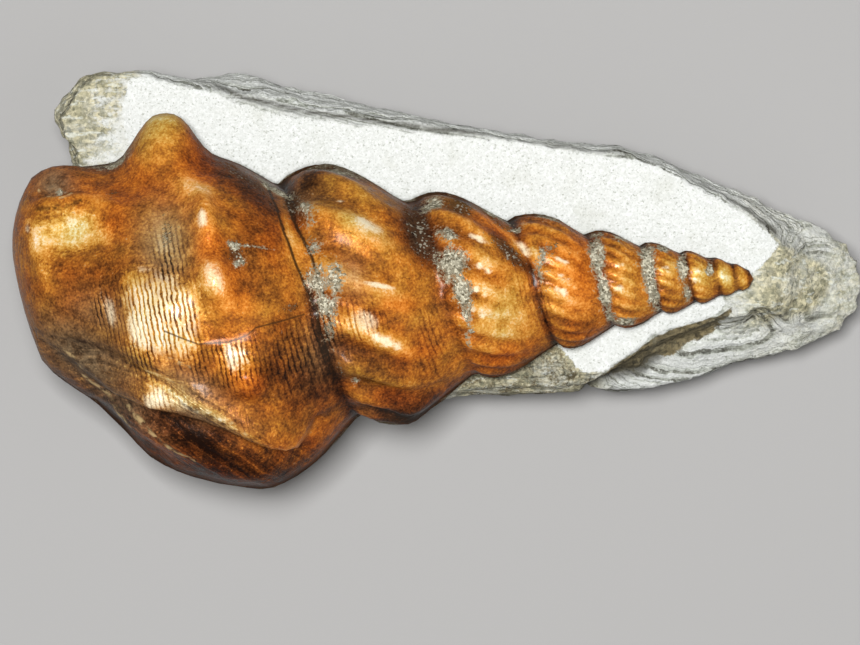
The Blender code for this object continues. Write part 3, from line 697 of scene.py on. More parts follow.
block = dict(
    # x, y, height of the edge, how far in the broken side reaches as a share of the way to the spine
    edge=(
        (-37.1, 12.2, 10.0, 0.08), (-37.2, 14.1, 11.0, 0.07), (-38.4, 15.7, 12.0, 0.06),
        (-38.9, 17.0, 12.5, 0.05), (-38.0, 18.4, 12.9, 0.05), (-36.3, 20.2, 12.9, 0.05),
        (-34.9, 21.1, 12.8, 0.04), (-29.4, 21.3, 12.0, 0.04), (-25.4, 20.5, 11.0, 0.06),
        (-22.1, 21.1, 10.0, 0.12), (-19.5, 21.2, 9.8, 0.14), (-17.3, 20.3, 10.2, 0.11),
        (-11.2, 18.7, 10.5, 0.09), (-3.0, 17.0, 10.5, 0.07), (3.1, 15.7, 10.5, 0.06),
        (10.9, 14.4, 10.4, 0.06), (18.4, 13.6, 10.2, 0.07), (22.3, 12.7, 10.0, 0.11),
        (26.7, 10.6, 10.0, 0.17), (32.3, 8.3, 10.4, 0.27), (35.0, 7.0, 10.6, 0.34),
        (39.0, 5.2, 10.6, 0.5), (41.4, 3.6, 10.2, 0.62), (42.5, 1.7, 9.8, 0.7),
        (42.8, -0.4, 9.4, 0.7), (42.1, -3.0, 8.8, 0.68), (40.6, -4.8, 8.6, 0.66),
        (38.4, -6.3, 8.6, 0.66), (35.0, -7.1, 8.8, 0.66), (29.6, -8.6, 9.2, 0.6),
        (25.3, -10.0, 9.8, 0.5), (21.2, -10.8, 10.5, 0.36), (17.0, -11.2, 11.2, 0.12),
        (11.1, -11.3, 11.5, 0.07), (5.0, -11.5, 11.0, 0.09), (-1.0, -12.0, 10.0, 0.12),
        (-5.0, -12.2, 9.0, 0.12), (-8.5, -12.6, 8.5, 0.12), (-14.0, -13.8, 7.5, 0.12),
        (-20.0, -14.2, 6.5, 0.12), (-25.5, -13.0, 6.0, 0.12), (-30.0, -10.5, 6.0, 0.12),
        (-33.4, -7.0, 6.5, 0.12), (-35.6, -2.5, 7.0, 0.12), (-36.6, 3.0, 7.5, 0.12),
        (-37.0, 9.0, 8.5, 0.1),
    ),
    spine=((-26.0, 1.5), (30.0, -0.6)),
    top=16.0,
    nearTop=14.6,
    tip=12.2,
    flatSpot=(-8.0, 0.5),
    # the underside: share of the way out from the flat spot, share of the edge's height
    underBeds=(
        (0.0, 0.0), (0.42, 0.0), (0.68, 0.10), (0.72, 0.20), (0.88, 0.30), (0.91, 0.46), (0.99, 0.62),
        (0.98, 0.84),
    ),
    # the broken side: share of its width, share of its rise on a slope, and on the ledge
    sideBeds=((0.0, 0.0, 0.0), (0.45, 0.50, 0.16), (0.90, 0.94, 0.34)),
    topShares=(0.0, 0.3, 0.6, 0.85, 1.0),
    columns=184,
    voxel=0.34,
    moatDepth=0.15,          # the stone is cut back a little where it meets the shell
    moatWidth=0.4,
)

scrapedFace = (
    (-31.3, 20.2), (-28.0, 20.6), (-23.8, 19.3), (-20.8, 17.9), (-16.7, 16.9), (-12.6, 16.1), (-4.3, 15.1),
    (1.6, 14.5), (7.1, 14.1), (14.3, 12.8), (20.8, 12.1), (24.9, 10.9), (29.1, 7.6), (33.2, 4.8),
    (33.8, 3.7), (32.2, 1.6), (30.6, 0.2), (20.0, 0.0), (0.0, 0.0), (-25.0, 5.0), (-31.4, 14.2),
    (-31.8, 17.5),
)
nearScrapedFace = (
    (12.0, -6.7), (13.4, -8.7), (14.5, -9.4), (16.7, -9.1), (17.3, -8.3), (19.5, -7.0), (21.4, -5.3),
    (23.6, -4.6), (26.3, -3.9), (27.7, -3.4), (28.5, -2.4), (28.0, -1.0), (23.6, -1.0), (19.2, -2.0),
    (12.0, -4.0),
)
brownLedge = (
    (17.2, -8.5), (19.6, -7.1), (21.6, -5.5), (24.0, -4.7), (27.6, -3.7), (29.4, -2.6), (28.6, -4.4),
    (25.9, -6.0), (23.9, -7.0), (21.4, -8.0), (20.4, -9.0), (18.6, -9.5), (17.2, -10.0), (15.0, -10.7),
    (15.6, -9.9),
)
crevice = ((14.6, -11.0), (16.6, -10.2), (18.8, -9.5), (20.3, -9.2), (21.0, -8.3), (22.0, -7.9))
topLine = (
    (-29.4, 21.0), (-24.9, 20.0), (-19.8, 18.4), (-14.6, 17.1), (-7.4, 16.1), (-1.0, 15.2), (6.0, 14.5),
    (13.6, 13.3), (18.6, 12.7), (22.6, 12.2), (26.4, 9.9), (30.6, 7.2), (33.6, 4.8),
)


def spinePoint(x):
    (x0, y0), (x1, y1) = block["spine"]
    nearest = np.clip(x, x0, x1)
    return nearest, y0 + (y1 - y0) * (nearest - x0) / (x1 - x0)


def topHeight(x, y):
    near = ease(0.0, 6.0, spinePoint(x)[1] - y) * ease(-2.0, 6.0, x)
    height = block["top"] + (block["nearTop"] - block["top"]) * near
    return height + (block["tip"] - height) * ease(31.0, 43.0, x)


def blockRings(column):
    edge = np.array(block["edge"] + block["edge"][:1])
    x, y, edgeHeight, rim = [np.interp(column * (len(edge) - 1), np.arange(len(edge)), v) for v in edge.T]
    centreX, centreY = block["flatSpot"]
    spineX, spineY = spinePoint(x)
    rings = []
    for out, up in block["underBeds"]:
        rings.append((centreX + (x - centreX) * out, centreY + (y - centreY) * out, edgeHeight * up))
    for inward, slopeRise, ledgeRise in block["sideBeds"]:
        px, py = x + (spineX - x) * rim * inward, y + (spineY - y) * rim * inward
        ledge = span((13.0, 19.0), (33.0, 39.0), x) * ease(2.0, 5.0, -y)
        rise = slopeRise + (ledgeRise - slopeRise) * ledge
        rings.append((px, py, edgeHeight + (topHeight(px, py) - edgeHeight) * rise))
    for inward in block["topShares"]:
        reach = rim + (1 - rim) * inward
        px, py = x + (spineX - x) * reach, y + (spineY - y) * reach
        rings.append((px, py, topHeight(px, py)))
    return np.array(rings)


def bedPlace(points, fromEdge):  # across the laminations, which follow the long sides
    wavy = 0.40 * lumps(points * (0.35, 1, 1), 5.0, 2, 3.0) + 0.10 * lumps(points * (0.4, 1, 1), 1.6, 2, 5.0)
    return -0.9 * fromEdge + 0.8 * points[:, 2] + wavy


def layerHeight(layer):  # the same height each time for a layer, from 0 to 1
    return np.mod(np.sin(layer * 12.9898) * 43758.5453, 1.0)


def bedSteps(height, thickness, shift):
    layer = np.floor(height / thickness)
    part = ease(0.75, 1.0, height / thickness - layer)
    return layerHeight(layer + shift) * (1 - part) + layerHeight(layer + 1 + shift) * part - 0.5


def cutBlock():
    ringCount = len(block["underBeds"]) + len(block["sideBeds"]) + len(block["topShares"])
    piece, ring, column, onAxis = addRingedCylinder("shaleBlock", block["columns"], ringCount, "NOTHING")
    places = np.rint(column * block["columns"]).astype(int) % block["columns"]
    rings = blockRings(np.arange(block["columns"]) / block["columns"])
    movePoints(piece, rings[np.rint(ring * (ringCount - 1)).astype(int), :, places])

    editAll(piece)
    bpy.ops.mesh.remove_doubles(threshold=0.02 * mm)
    bpy.ops.mesh.select_all(action="DESELECT")
    bpy.ops.mesh.select_non_manifold()
    bpy.ops.mesh.fill()
    bpy.ops.mesh.select_all(action="SELECT")
    bpy.ops.mesh.normals_make_consistent(inside=False)
    bpy.ops.object.mode_set(mode="OBJECT")
    remesh = piece.modifiers.new("evenFaces", "REMESH")
    remesh.mode = "VOXEL"
    remesh.voxel_size = block["voxel"] * mm
    bpy.ops.object.modifier_apply(modifier=remesh.name)
    return piece


def blockPlaces(points, normals):  # which part of the block each point belongs to
    at = SimpleNamespace(seen=fromAbove(*points.T), up=normals[:, 2])
    seenX, seenY = at.seen
    at.level = ease(0.75, 0.95, at.up)
    at.ragged = 0.35 * lumps(points, 2.5, 3, 21.0)
    scraped = ease(-0.35, 0.35, depthInArea(*at.seen, scrapedFace) + at.ragged)
    nearScraped = ease(-0.25, 0.25, depthInArea(*at.seen, nearScrapedFace) + 0.6 * at.ragged)
    at.white = np.maximum(scraped, nearScraped) * at.level
    at.tip = ease(27.0, 33.0, seenX)
    at.tipEnd = ease(37.5, 41.0, points[:, 0])
    at.lobe = (1 - ease(-31.0, -29.5, seenX)) * ease(9.0, 12.0, seenY)
    at.ledge = ease(-0.3, 0.3, depthInArea(*at.seen, brownLedge) + at.ragged)
    at.standing = ease(0.05, 0.9, points[:, 2])    # 0 on the flat spot

    fromEdge = depthInArea(points[:, 0], points[:, 1], [corner[:2] for corner in block["edge"]])
    at.beds = bedPlace(points, fromEdge)
    at.rimward = 1 - ease(2.6, 3.8, fromEdge)
    fadingPlace = seenX - 0.25 * (seenY - 16.0) + 1.5 * lumps(points, 2.6, 3, 31.0)
    at.fading = at.lobe * at.level * ease(-38.5, -30.0, fadingPlace)
    at.rough = np.clip(1 - np.maximum(at.white, 0.9 * ease(0.3, 0.9, at.fading)), 0, 1) * at.standing
    steep = 1 - ease(0.45, 0.85, np.abs(at.up))
    lined = np.maximum(steep, at.rimward * (0.9 - 0.7 * at.lobe)) - 0.4 * at.ledge
    at.lined = np.clip(lined, 0, 1) * (1 - at.white) * (1 - at.tipEnd)
    at.creviceGap = gapToCourse(*at.seen, crevice)
    at.topGap = gapToCourse(seenX, seenY + 0.25 * at.ragged, topLine)
    return at


def weathering(points, at):  # how far each point moves out
    coarse = lumps(points, 4.5, 3, 1.0)
    medium = lumps(points, 1.5, 3, 11.0)
    fine = lumps(points * (0.6, 1.6, 1.6), 0.9, 2, 17.0)
    steps = 0.45 * bedSteps(at.beds, 1.3, 2.0) + 0.30 * bedSteps(at.beds, 0.55, 7.0)
    move = at.lined * steps * at.standing * (1 - 0.6 * at.tipEnd)
    move = move - 0.9 * nearness(at.creviceGap, 0.4) - 0.25 * nearness(at.topGap, 0.25) * at.level
    move = move + at.rough * (0.30 * coarse + 0.16 * medium + 0.05 * fine)
    move = move + at.lobe * at.rough * (0.30 * coarse + 0.12 * medium) + at.tip * at.rough * 0.15 * medium
    move = move + at.white * (0.05 * coarse + 0.03 * medium + 0.015 * fine)
    return move - 0.45 * at.ledge * (1 - at.white)


def gapToShell(points):
    shellTree = BVHTree.FromPolygons(
        [vertex.co / mm for vertex in fossilShell.data.vertices],
        [polygon.vertices for polygon in fossilShell.data.polygons],
    )
    reach = 6.0
    nearest = [shellTree.find_nearest(Vector(point), reach)[3] for point in points]
    return np.array([reach if gap is None else gap for gap in nearest])


def weatherBlock(piece):
    points = pointsOf(piece)
    normals = normalsOf(piece)
    at = blockPlaces(points, normals)
    move = weathering(points, at)
    points = points + normals * move[:, None]
    gap = gapToShell(points)
    points[:, 2] -= block["moatDepth"] * nearness(gap, block["moatWidth"]) * at.level * ease(0.0, 0.2, gap)
    points[:, 2] = np.maximum(points[:, 2], 0.0)
    outside = np.maximum(blockLow - points, 0) + np.minimum(blockHigh - points, 0)
    movePoints(piece, points + outside * at.standing[:, None])

    nearMiddle = span((-1.0, 3.0), (14.0, 18.0), at.seen[0]) * ease(3.0, 5.0, -at.seen[1])
    tan = at.lobe + at.tip * np.maximum(1 - 0.75 * at.rimward, 0.6 * at.tipEnd) + nearMiddle
    topEdge = nearness(at.topGap, 0.22) * ease(0.15, 0.5, at.up)
    keepValues(
        piece,
        white=at.white,
        fading=at.fading,
        # darker in the crevice under the ledge, as a painted shadow, and along a thin line at the shell's
        # upper edge
        darkLine=np.maximum(nearness(at.creviceGap, 0.35), topEdge),
        tan=np.clip(tan, 0, 1),
        ledge=np.maximum(at.ledge, 0.45 * np.clip(nearMiddle, 0, 1)) * (1 - at.white),
        bed=at.beds,
        lined=at.lined,
        # darker on the stone right next to the shell: painted shade
        contact=nearness(gap, 0.16),
        # darker where the stone sinks in: painted shade
        hollow=np.clip(-(move + 0.1) * 1.5, 0, 1),
    )


shaleBlock = cutBlock()
weatherBlock(shaleBlock)
turnFacesOut(shaleBlock)
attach(shaleBlock, "root")
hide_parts("matrix")
print("block cut and weathered:", len(shaleBlock.data.polygons), "faces")


# Node helpers

def setInputs(tree, node, values):  # another node's output is linked, and anything else is set
    for name, value in values.items():
        if isinstance(value, bpy.types.NodeSocket):
            tree.links.new(value, node.inputs[name])
        elif node.inputs[name].type == "RGBA":
            node.inputs[name].default_value = (*value, 1)
        else:
            node.inputs[name].default_value = value


def addNode(tree, kind, values=None, **settings):
    node = tree.nodes.new(kind)
    for name, value in settings.items():
        setattr(node, name, value)
    setInputs(tree, node, values or {})
    return node


def maths(tree, operation, first, second=0.0, third=0.0, clamp=False):
    values = {0: first, 1: second, 2: third}
    return addNode(tree, "ShaderNodeMath", values, operation=operation, use_clamp=clamp).outputs[0]


def times(tree, first, second):
    return maths(tree, "MULTIPLY", first, second)


def addShare(tree, total, value, share, clamp=False):  # the total and a share of the value
    return maths(tree, "MULTIPLY_ADD", value, share, total, clamp)


def centred(tree, value):
    return maths(tree, "SUBTRACT", value, 0.5)


def roughened(tree, value, *noises):  # each noise moves the value up and down by its share
    for noiseOutput, share in noises:
        value = addShare(tree, value, centred(tree, noiseOutput), share)
    return value


def mixColour(tree, amount, first, second, blend="MIX"):
    values = {"Factor": amount, 6: first, 7: second}
    return addNode(tree, "ShaderNodeMix", values, data_type="RGBA", blend_type=blend).outputs[2]


def mixValue(tree, amount, first, second):
    return addNode(tree, "ShaderNodeMix", {"Factor": amount, 2: first, 3: second}).outputs[0]


def between(tree, value, low, high, start=0.0, end=1.0):
    values = {"Value": value, "From Min": low, "From Max": high, "To Min": start, "To Max": end}
    return addNode(tree, "ShaderNodeMapRange", values, interpolation_type="SMOOTHSTEP").outputs[0]


def noiseValue(tree, place, size, detail=3.0, stretch=None):
    if stretch:
        values = {0: place, 1: stretch}
        place = addNode(tree, "ShaderNodeVectorMath", values, operation="MULTIPLY").outputs[0]
    values = {"Vector": place, "Scale": 1.0 / size, "Detail": detail, "Roughness": 0.6}
    return addNode(tree, "ShaderNodeTexNoise", values).outputs["Fac"]


def lineNoise(tree, place, scale, detail, roughness=0.5):  # noise along one value, for lines across it
    values = {"W": place, "Scale": scale, "Detail": detail, "Roughness": roughness}
    return addNode(tree, "ShaderNodeTexNoise", values, noise_dimensions="1D").outputs["Fac"]


def attribute(tree, name):
    return addNode(tree, "ShaderNodeAttribute", attribute_name=name).outputs["Fac"]


def millimetres(tree):
    place = addNode(tree, "ShaderNodeTexCoord").outputs["Object"]
    return addNode(tree, "ShaderNodeVectorMath", {0: place, 3: 1.0 / mm}, operation="SCALE").outputs[0]


def colourRamp(tree, value, stops):
    ramp = addNode(tree, "ShaderNodeValToRGB", {"Fac": value})
    marks = ramp.color_ramp.elements
    while len(marks) < len(stops):
        marks.new(0.5)
    for mark, (place, colour) in zip(marks, stops):
        mark.position = place
        mark.color = (*colour, 1)
    return ramp.outputs["Color"]


def newMaterial(name):
    material = bpy.data.materials.new(name)
    material.use_nodes = True
    return material, material.node_tree, material.node_tree.nodes["Principled BSDF"]


def bump(tree, height):
    values = {"Strength": 1.0, "Distance": mm, "Height": height}
    return addNode(tree, "ShaderNodeBump", values).outputs["Normal"]


def makeGrainGroup():  # grains of stone mixed with soft mottling, on the block and on the shell
    tree = bpy.data.node_groups.new("rockGrain", "ShaderNodeTree")
    given, result = tree.nodes.new("NodeGroupInput"), tree.nodes.new("NodeGroupOutput")
    for name, direction, kind in (
        ("Place", "INPUT", "Vector"), ("Size", "INPUT", "Float"), ("Cells", "INPUT", "Float"),
        ("Contrast", "INPUT", "Float"), ("Pale", "INPUT", "Color"), ("Dark", "INPUT", "Color"),
        ("Color", "OUTPUT", "Color"), ("Height", "OUTPUT", "Float"), ("Scatter", "OUTPUT", "Float"),
    ):
        tree.interface.new_socket(name, in_out=direction, socket_type="NodeSocket" + kind)
    place, size, cells, contrast, pale, dark = given.outputs[:6]
    scale = maths(tree, "DIVIDE", 1.0, size)
    cellColour = addNode(tree, "ShaderNodeTexVoronoi", {"Vector": place, "Scale": scale}).outputs["Color"]
    shade, scatter = addNode(tree, "ShaderNodeSeparateColor", {"Color": cellColour}).outputs[:2]
    values = {"Vector": place, "Scale": times(tree, scale, 0.45), "Detail": 4.0}
    soft = addNode(tree, "ShaderNodeTexNoise", values).outputs["Fac"]
    grain = mixValue(tree, cells, soft, shade)
    spread = maths(tree, "MULTIPLY_ADD", centred(tree, grain), contrast, 0.5, clamp=True)
    colour = mixColour(tree, spread, dark, pale)
    setInputs(tree, result, {"Color": colour, "Height": grain, "Scatter": scatter})
    return tree


grainGroup = makeGrainGroup()


def grainLook(tree, place, size, pale, dark, contrast, cells=0.35):
    values = {"Place": place, "Size": size, "Cells": cells, "Contrast": contrast, "Pale": pale, "Dark": dark}
    return addNode(tree, "ShaderNodeGroup", values, node_tree=grainGroup).outputs


def raggedMask(tree, name, coarse, fine, low, high):  # an attribute with its edge broken up by noise
    return between(tree, roughened(tree, attribute(tree, name), (coarse, 1.0), (fine, 1.0)), low, high)


# The shell's amber calcite

amber = dict(
    ramp=(
        (0.00, (0.012, 0.004, 0.002)), (0.14, (0.055, 0.016, 0.004)), (0.28, (0.15, 0.044, 0.008)),
        (0.42, (0.32, 0.105, 0.014)), (0.56, (0.54, 0.215, 0.024)), (0.70, (0.72, 0.38, 0.075)),
        (0.84, (0.84, 0.60, 0.26)), (1.00, (0.94, 0.86, 0.66)),
    ),
    redTint=(1.12, 0.80, 0.72),
    oliveTint=(0.84, 1.06, 1.30),
    # the colour of the painted highlights
    gleamColour=(0.97, 0.84, 0.58),
    crestColour=(0.86, 0.78, 0.60),
    # the colour of the painted glints along the ridges
    ridgeColour=(0.66, 0.47, 0.22),
    lineColour=(0.03, 0.014, 0.006),
    edgeColour=(0.06, 0.025, 0.008),
    # the colour painted on the steep walls as shade
    wallColour=(0.05, 0.022, 0.008),
    dullColour=(0.25, 0.185, 0.11),
    dullLevels=((0.1, (0.2, 0.2, 0.2)), (0.5, (1.1, 1.1, 1.1)), (0.9, (3.2, 3.2, 3.2))),
    crustPale=(0.68, 0.64, 0.49),
    crustDark=(0.09, 0.08, 0.05),
    crustFilm=(0.30, 0.265, 0.18),
    grimeColour=(0.055, 0.033, 0.019),
    speckColour=(0.34, 0.31, 0.24),
    # how deep the relief of the bump is
    threadDepth=0.09,
    wrinkleDepth=0.24,
    mottleDepth=0.08,
    dimpleDepth=0.06,
    fineDepth=0.02,
    paleDepth=-0.05,
    grainDepth=0.25,
    # the shine is in a thin coat and in the metallic gleam of the pearl, and dirt and the painted wall shade
    # dull both
    coat=0.15,
    coatRoughness=0.22,
    pearl=0.09,
    specularLevel=0.02,
)


def spiralThreads(tree, place):  # broad crests with narrow grooves between them
    wavy = addShare(tree, attribute(tree, "threadCount"), noiseValue(tree, place, 1.1, 2.0), 1.1)
    wave = maths(tree, "COSINE", times(tree, wavy, 2 * math.pi))
    broken = between(tree, noiseValue(tree, place, 0.9, 2.0, (1.0, 0.4, 1.0)), 0.32, 0.50)
    shown = times(tree, attribute(tree, "thread"), broken)
    return times(tree, between(tree, wave, -1.0, 0.2, -0.85, 0.15), shown)


def growthWrinkles(tree, place):
    wavy = addShare(tree, attribute(tree, "wrinkle"), noiseValue(tree, place, 3.0, 2.0), 0.5)
    return times(tree, centred(tree, lineNoise(tree, wavy, 2.2, 3.0)), attribute(tree, "wrinkled"))


def amberTone(tree, place, spots):  # from 0, dark, to 1, pale
    tone = roughened(
        tree, attribute(tree, "tone"), (spots.broad, 0.26), (spots.mottle, 0.58), (spots.fine, 0.52)
    )
    # painted highlights: tiny bright sparkles, most along the wrinkled ridges
    sparks = between(tree, noiseValue(tree, place, 0.32, 2.0), 0.60, 0.70)
    sparks = times(tree, sparks, between(tree, attribute(tree, "wrinkled"), 0.0, 0.8, 0.3, 1.0))
    # the threads and wrinkles are lighter on their crests and darker in their grooves: partly the shell's
    # own colour, partly painted light and shade
    for value, share in ((spots.pale, 0.17), (spots.threads, 0.50), (spots.wrinkles, 0.9)):
        tone = addShare(tree, tone, value, share)
    return addShare(tree, tone, sparks, 0.20, clamp=True)


def amberColour(tree, place, spots, tone):
    colour = colourRamp(tree, tone, amber["ramp"])
    warmth = roughened(tree, attribute(tree, "warmth"), (noiseValue(tree, place, 2.2, 3.0), 1.6))
    tint = mixColour(tree, between(tree, warmth, -0.9, 0.9), amber["oliveTint"], amber["redTint"])
    colour = mixColour(tree, 1.0, colour, tint, "MULTIPLY")
    pits = between(tree, noiseValue(tree, place, 0.36, 2.0), 0.64, 0.74, 0.0, 0.5)
    colour = mixColour(tree, pits, colour, amber["lineColour"])
    # pale gold on the thread crests in the pale places: partly their own colour, partly painted highlight
    crests = between(tree, spots.threads, -0.15, 0.10)
    crests = times(tree, crests, between(tree, spots.paleEdge, 0.0, 0.8, 0.0, 0.45))
    crests = times(tree, crests, between(tree, attribute(tree, "thread"), 0.2, 0.6))
    colour = mixColour(tree, crests, colour, amber["crestColour"])

    levels = colourRamp(tree, tone, amber["dullLevels"])
    dullLook = mixColour(tree, 1.0, levels, amber["dullColour"], "MULTIPLY")
    dull = times(tree, attribute(tree, "dull"), between(tree, spots.mottle, 0.3, 0.6, 0.5, 0.85))
    colour = mixColour(tree, dull, colour, dullLook)
    # painted highlights: the colour turns pale on the gleam spots
    gleam = roughened(tree, attribute(tree, "gleam"), (spots.mottle, 0.3), (spots.fine, 0.5))
    gleam = between(tree, gleam, 0.26, 0.90, 0.0, 0.92)
    gleam = times(tree, gleam, between(tree, spots.fine, 0.2, 0.5, 0.6, 1.0))
    gleam = times(tree, gleam, addShare(tree, 1.0, spots.threads, 1.0, clamp=True))
    return mixColour(tree, gleam, colour, amber["gleamColour"])


def amberLines(tree, place, spots, colour):  # painted shade in the clefts, painted glints along the ridges, then cracks and the edge of the flaked layer
    streaks = between(tree, noiseValue(tree, place, 0.7, 3.0), 0.38, 0.56)
    for name, ink, width in (("darkCleft", "lineColour", 0.34), ("paleRidge", "ridgeColour", 0.22)):
        away = roughened(tree, attribute(tree, name), (spots.mottle, 0.3))
        line = times(tree, between(tree, away, 0.03, width, 0.7, 0.0), streaks)
        colour = mixColour(tree, line, colour, amber[ink])
    for name in ("firstCrack", "secondCrack"):
        away = maths(tree, "ABSOLUTE", roughened(tree, attribute(tree, name), (spots.mottle, 0.5)))
        colour = mixColour(tree, between(tree, away, 0.05, 0.26, 0.92, 0.0), colour, amber["lineColour"])
    away = maths(tree, "ABSOLUTE", maths(tree, "ADD", attribute(tree, "flakeEdge"), 0.05))
    return mixColour(tree, between(tree, away, 0.02, 0.16, 0.8, 0.0), colour, amber["edgeColour"])


def amberDirt(tree, spots, grains, colour):  # grime, then a film and grains of the block over it, then the steep walls painted dark as shade
    grime = raggedMask(tree, "grime", spots.mottle, spots.fine, 0.30, 0.70)
    film = raggedMask(tree, "crust", spots.mottle, spots.fine, 0.28, 0.50)
    scatter = maths(tree, "MULTIPLY_ADD", grains["Scatter"], 0.36, 0.32)
    crust = raggedMask(tree, "crust", spots.mottle, scatter, 0.46, 0.56)
    grit = times(tree, between(tree, grains["Height"], 0.70, 0.76), grime)
    # painted shade: the steep walls are darkened
    wall = attribute(tree, "wall")
    for mask, share, look in (
        (grime, 0.78, amber["grimeColour"]), (grit, 0.8, amber["speckColour"]),
        (film, 0.82, amber["crustFilm"]), (crust, 0.92, grains["Color"]), (wall, 0.6, amber["wallColour"]),
    ):
        colour = mixColour(tree, times(tree, mask, share), colour, look)
    stuck = maths(tree, "MAXIMUM", crust, grime)
    return colour, stuck, maths(tree, "MAXIMUM", stuck, wall)


def makeAmber():
    material, tree, shader = newMaterial("amberCalcite")
    place = millimetres(tree)
    spots = SimpleNamespace(
        broad=noiseValue(tree, place, 3.5, 3.0),
        mottle=noiseValue(tree, place, 1.1, 4.0),
        fine=noiseValue(tree, place, 0.24, 2.0),
        threads=spiralThreads(tree, place),
        wrinkles=growthWrinkles(tree, place),
    )
    spots.paleEdge = roughened(tree, attribute(tree, "paleDepth"), (spots.mottle, 1.6), (spots.fine, 1.0))
    pale = between(tree, spots.paleEdge, -0.30, 0.30, 0.0, 0.5)
    pale = times(tree, pale, between(tree, spots.paleEdge, 0.0, 1.5, 1.0, 2.0))
    spots.pale = times(tree, pale, between(tree, spots.mottle, 0.30, 0.55, 0.6, 1.1))
    grains = grainLook(tree, place, 0.22, amber["crustPale"], amber["crustDark"], 1.55, 0.65)
    colour = amberColour(tree, place, spots, amberTone(tree, place, spots))
    colour = amberLines(tree, place, spots, colour)
    colour, stuck, dirt = amberDirt(tree, spots, grains, colour)

    height = 0.0
    for value, depth in (
        (spots.threads, "threadDepth"), (spots.wrinkles, "wrinkleDepth"), (spots.mottle, "mottleDepth"),
        (noiseValue(tree, place, 0.6, 2.0), "dimpleDepth"), (spots.fine, "fineDepth"),
        (spots.pale, "paleDepth"), (times(tree, grains["Height"], stuck), "grainDepth"),
    ):
        height = addShare(tree, height, value, amber[depth])
    shine = times(tree, attribute(tree, "gloss"), between(tree, spots.mottle, 0.3, 0.6, 1.0, 0.6))
    roughness = between(tree, spots.mottle, 0.3, 0.7, 0.24, 0.40)
    setInputs(tree, shader, {
        "Base Color": colour,
        "Roughness": addShare(tree, roughness, dirt, 0.6, clamp=True),
        "Metallic": addShare(tree, amber["pearl"], dirt, -amber["pearl"], clamp=True),
        "Coat Weight": times(tree, addShare(tree, amber["coat"], dirt, -amber["coat"], clamp=True), shine),
        "Coat Roughness": amber["coatRoughness"],
        "Specular IOR Level": amber["specularLevel"],
        "Normal": bump(tree, height),
    })
    return material


# The block's shale

shale = dict(
    whitePale=(0.755, 0.77, 0.75),
    whiteDark=(0.26, 0.28, 0.22),
    greyPale=(0.76, 0.79, 0.72),
    greyDark=(0.17, 0.18, 0.14),
    tanPale=(0.66, 0.60, 0.39),
    tanDark=(0.17, 0.165, 0.10),
    ledgePale=(0.25, 0.20, 0.105),
    ledgeDark=(0.045, 0.036, 0.019),
    cloudColour=(0.42, 0.43, 0.34),
    speckColour=(0.16, 0.17, 0.11),
    lineColour=(0.065, 0.06, 0.045),
    specularLevel=0.25,
)


def whiteFace(tree, place):  # the scraped stone: nearly plain, with fine dark specks
    grains = grainLook(tree, place, 0.17, shale["whitePale"], shale["whiteDark"], 2.2, 0.45)
    look = mixColour(tree, 0.74, grains["Color"], shale["whitePale"])
    specks = between(tree, noiseValue(tree, place, 0.28, 2.0), 0.59, 0.70, 0.0, 0.6)
    return mixColour(tree, specks, look, shale["whiteDark"]), grains["Height"]


def tanCrust(tree, place):  # the brownish crust on the block's broken places, flaked dark and pale
    grains = grainLook(tree, place, 0.32, shale["tanPale"], shale["tanDark"], 2.4)
    flakes = noiseValue(tree, place, 0.8, 4.0, (0.4, 1.5, 1.0))
    look = mixColour(tree, between(tree, flakes, 0.52, 0.64, 0.0, 0.55), grains["Color"], shale["tanDark"])
    return mixColour(tree, between(tree, flakes, 0.36, 0.44, 0.6, 0.0), look, shale["greyPale"])


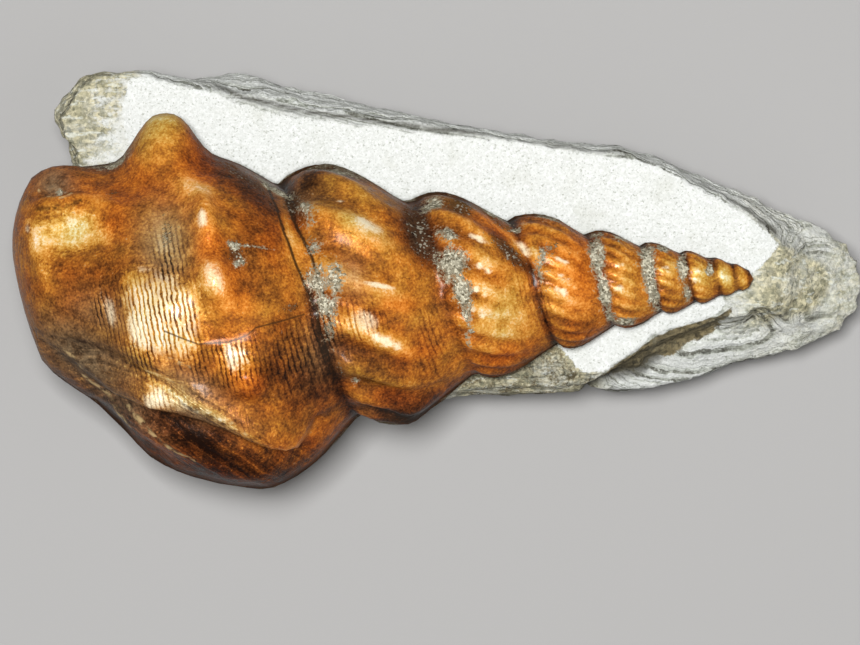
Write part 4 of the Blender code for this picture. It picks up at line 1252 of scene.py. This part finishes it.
def makeShale():
    material, tree, shader = newMaterial("beddedShale")
    place = millimetres(tree)
    broad = noiseValue(tree, place, 4.0, 4.0)
    mottle = noiseValue(tree, place, 1.3, 4.0)
    fine = noiseValue(tree, place, 0.26, 3.0)
    streaky = noiseValue(tree, place, 1.0, 4.0, (0.45, 1.3, 1.0))
    grey = grainLook(tree, place, 0.30, shale["greyPale"], shale["greyDark"], 1.6)
    brown = grainLook(tree, place, 0.32, shale["ledgePale"], shale["ledgeDark"], 2.0)
    white, whiteHeight = whiteFace(tree, place)

    # the beds show as thin dark and pale lines where the block is broken across them
    bed = roughened(tree, attribute(tree, "bed"), (mottle, 0.5))
    lines = lineNoise(tree, bed, 2.3, 4.0, 0.7)
    lined = attribute(tree, "lined")
    pale = mixValue(tree, lined, between(tree, streaky, 0.42, 0.60), between(tree, lines, 0.43, 0.51))
    colour = mixColour(tree, times(tree, pale, 0.92), grey["Color"], white)
    tan = times(tree, attribute(tree, "tan"), between(tree, broad, 0.35, 0.6, 0.6, 1.0))
    colour = mixColour(tree, tan, colour, tanCrust(tree, place))
    dark = times(tree, between(tree, lines, 0.39, 0.45, 1.0, 0.0), between(tree, fine, 0.3, 0.5))
    dark = times(tree, dark, between(tree, streaky, 0.40, 0.55, 0.3, 0.95))
    colour = mixColour(tree, times(tree, dark, lined), colour, shale["lineColour"])
    colour = mixColour(tree, raggedMask(tree, "ledge", mottle, fine, 0.3, 0.7), colour, brown["Color"])

    fading = roughened(tree, attribute(tree, "fading"), (streaky, 1.4), (fine, 0.8))
    fading = between(tree, fading, 0.4, 0.9, 0.0, 0.82)
    colour = mixColour(tree, fading, colour, white)
    scraped = raggedMask(tree, "white", mottle, fine, 0.35, 0.7)
    colour = mixColour(tree, scraped, colour, white)
    clouds = times(tree, between(tree, broad, 0.5, 0.72), 0.24)
    colour = mixColour(tree, clouds, colour, shale["cloudColour"])
    specks = times(tree, between(tree, noiseValue(tree, place, 0.42, 2.0), 0.64, 0.74), 0.45)
    colour = mixColour(tree, specks, colour, shale["speckColour"])
    # painted shade: the stone is darkened in its hollows, next to the shell and in the crevice
    for name, share in (("hollow", 0.35), ("contact", 0.6), ("darkLine", 0.9)):
        colour = mixColour(tree, times(tree, attribute(tree, name), share), colour, shale["lineColour"])

    bumps = centred(tree, mottle)
    rough = roughened(tree, times(tree, bumps, 0.55), (grey["Height"], 0.30))
    rough = addShare(tree, rough, times(tree, centred(tree, lines), lined), 0.6)
    smooth = roughened(tree, times(tree, bumps, 0.08), (whiteHeight, 0.10))
    height = mixValue(tree, maths(tree, "MAXIMUM", scraped, fading), rough, smooth)
    setInputs(tree, shader, {
        "Base Color": colour,
        "Roughness": between(tree, mottle, 0.3, 0.7, 0.78, 0.95),
        "Specular IOR Level": shale["specularLevel"],
        "Normal": bump(tree, height),
    })
    return material


fossilShell.data.materials.append(makeAmber())
shaleBlock.data.materials.clear()
shaleBlock.data.materials.append(makeShale())
print("materials made")


# Floor and studio light

studio = dict(
    floorSize=3.0,
    floorColour=(0.37, 0.365, 0.36),
    floorRoughness=0.9,
    worldColour=(1.0, 0.98, 0.95),
    worldStrength=0.10,
    aim=(0, 0, 0.015),
    # name, place and size in metres, watts
    lights=(("key", (-0.04, 0.035, 0.62), 0.12, 4.7), ("sideFill", (0.5, -0.4, 0.5), 1.1, 1.5)),
)


def makeFloor():
    deselectAll()
    bpy.ops.mesh.primitive_plane_add(size=studio["floorSize"])
    floor = bpy.context.object
    floor.name = "floor"
    material, tree, shader = newMaterial("paleFloor")
    setInputs(tree, shader, {"Base Color": studio["floorColour"], "Roughness": studio["floorRoughness"]})
    floor.data.materials.append(material)


def makeLights():
    for name, place, size, watts in studio["lights"]:
        data = bpy.data.lights.new(name, "AREA")
        data.size = size
        data.energy = watts
        lamp = bpy.data.objects.new(name, data)
        lamp.location = place
        lamp.rotation_euler = (Vector(studio["aim"]) - Vector(place)).to_track_quat("-Z", "Y").to_euler()
        bpy.context.scene.collection.objects.link(lamp)
    world = bpy.context.scene.world or bpy.data.worlds.new("studio")
    bpy.context.scene.world = world
    world.use_nodes = True
    values = {"Color": studio["worldColour"], "Strength": studio["worldStrength"]}
    setInputs(world.node_tree, world.node_tree.nodes["Background"], values)
    bpy.context.scene.view_settings.view_transform = "Standard"


makeFloor()
makeLights()
print("studio lit")
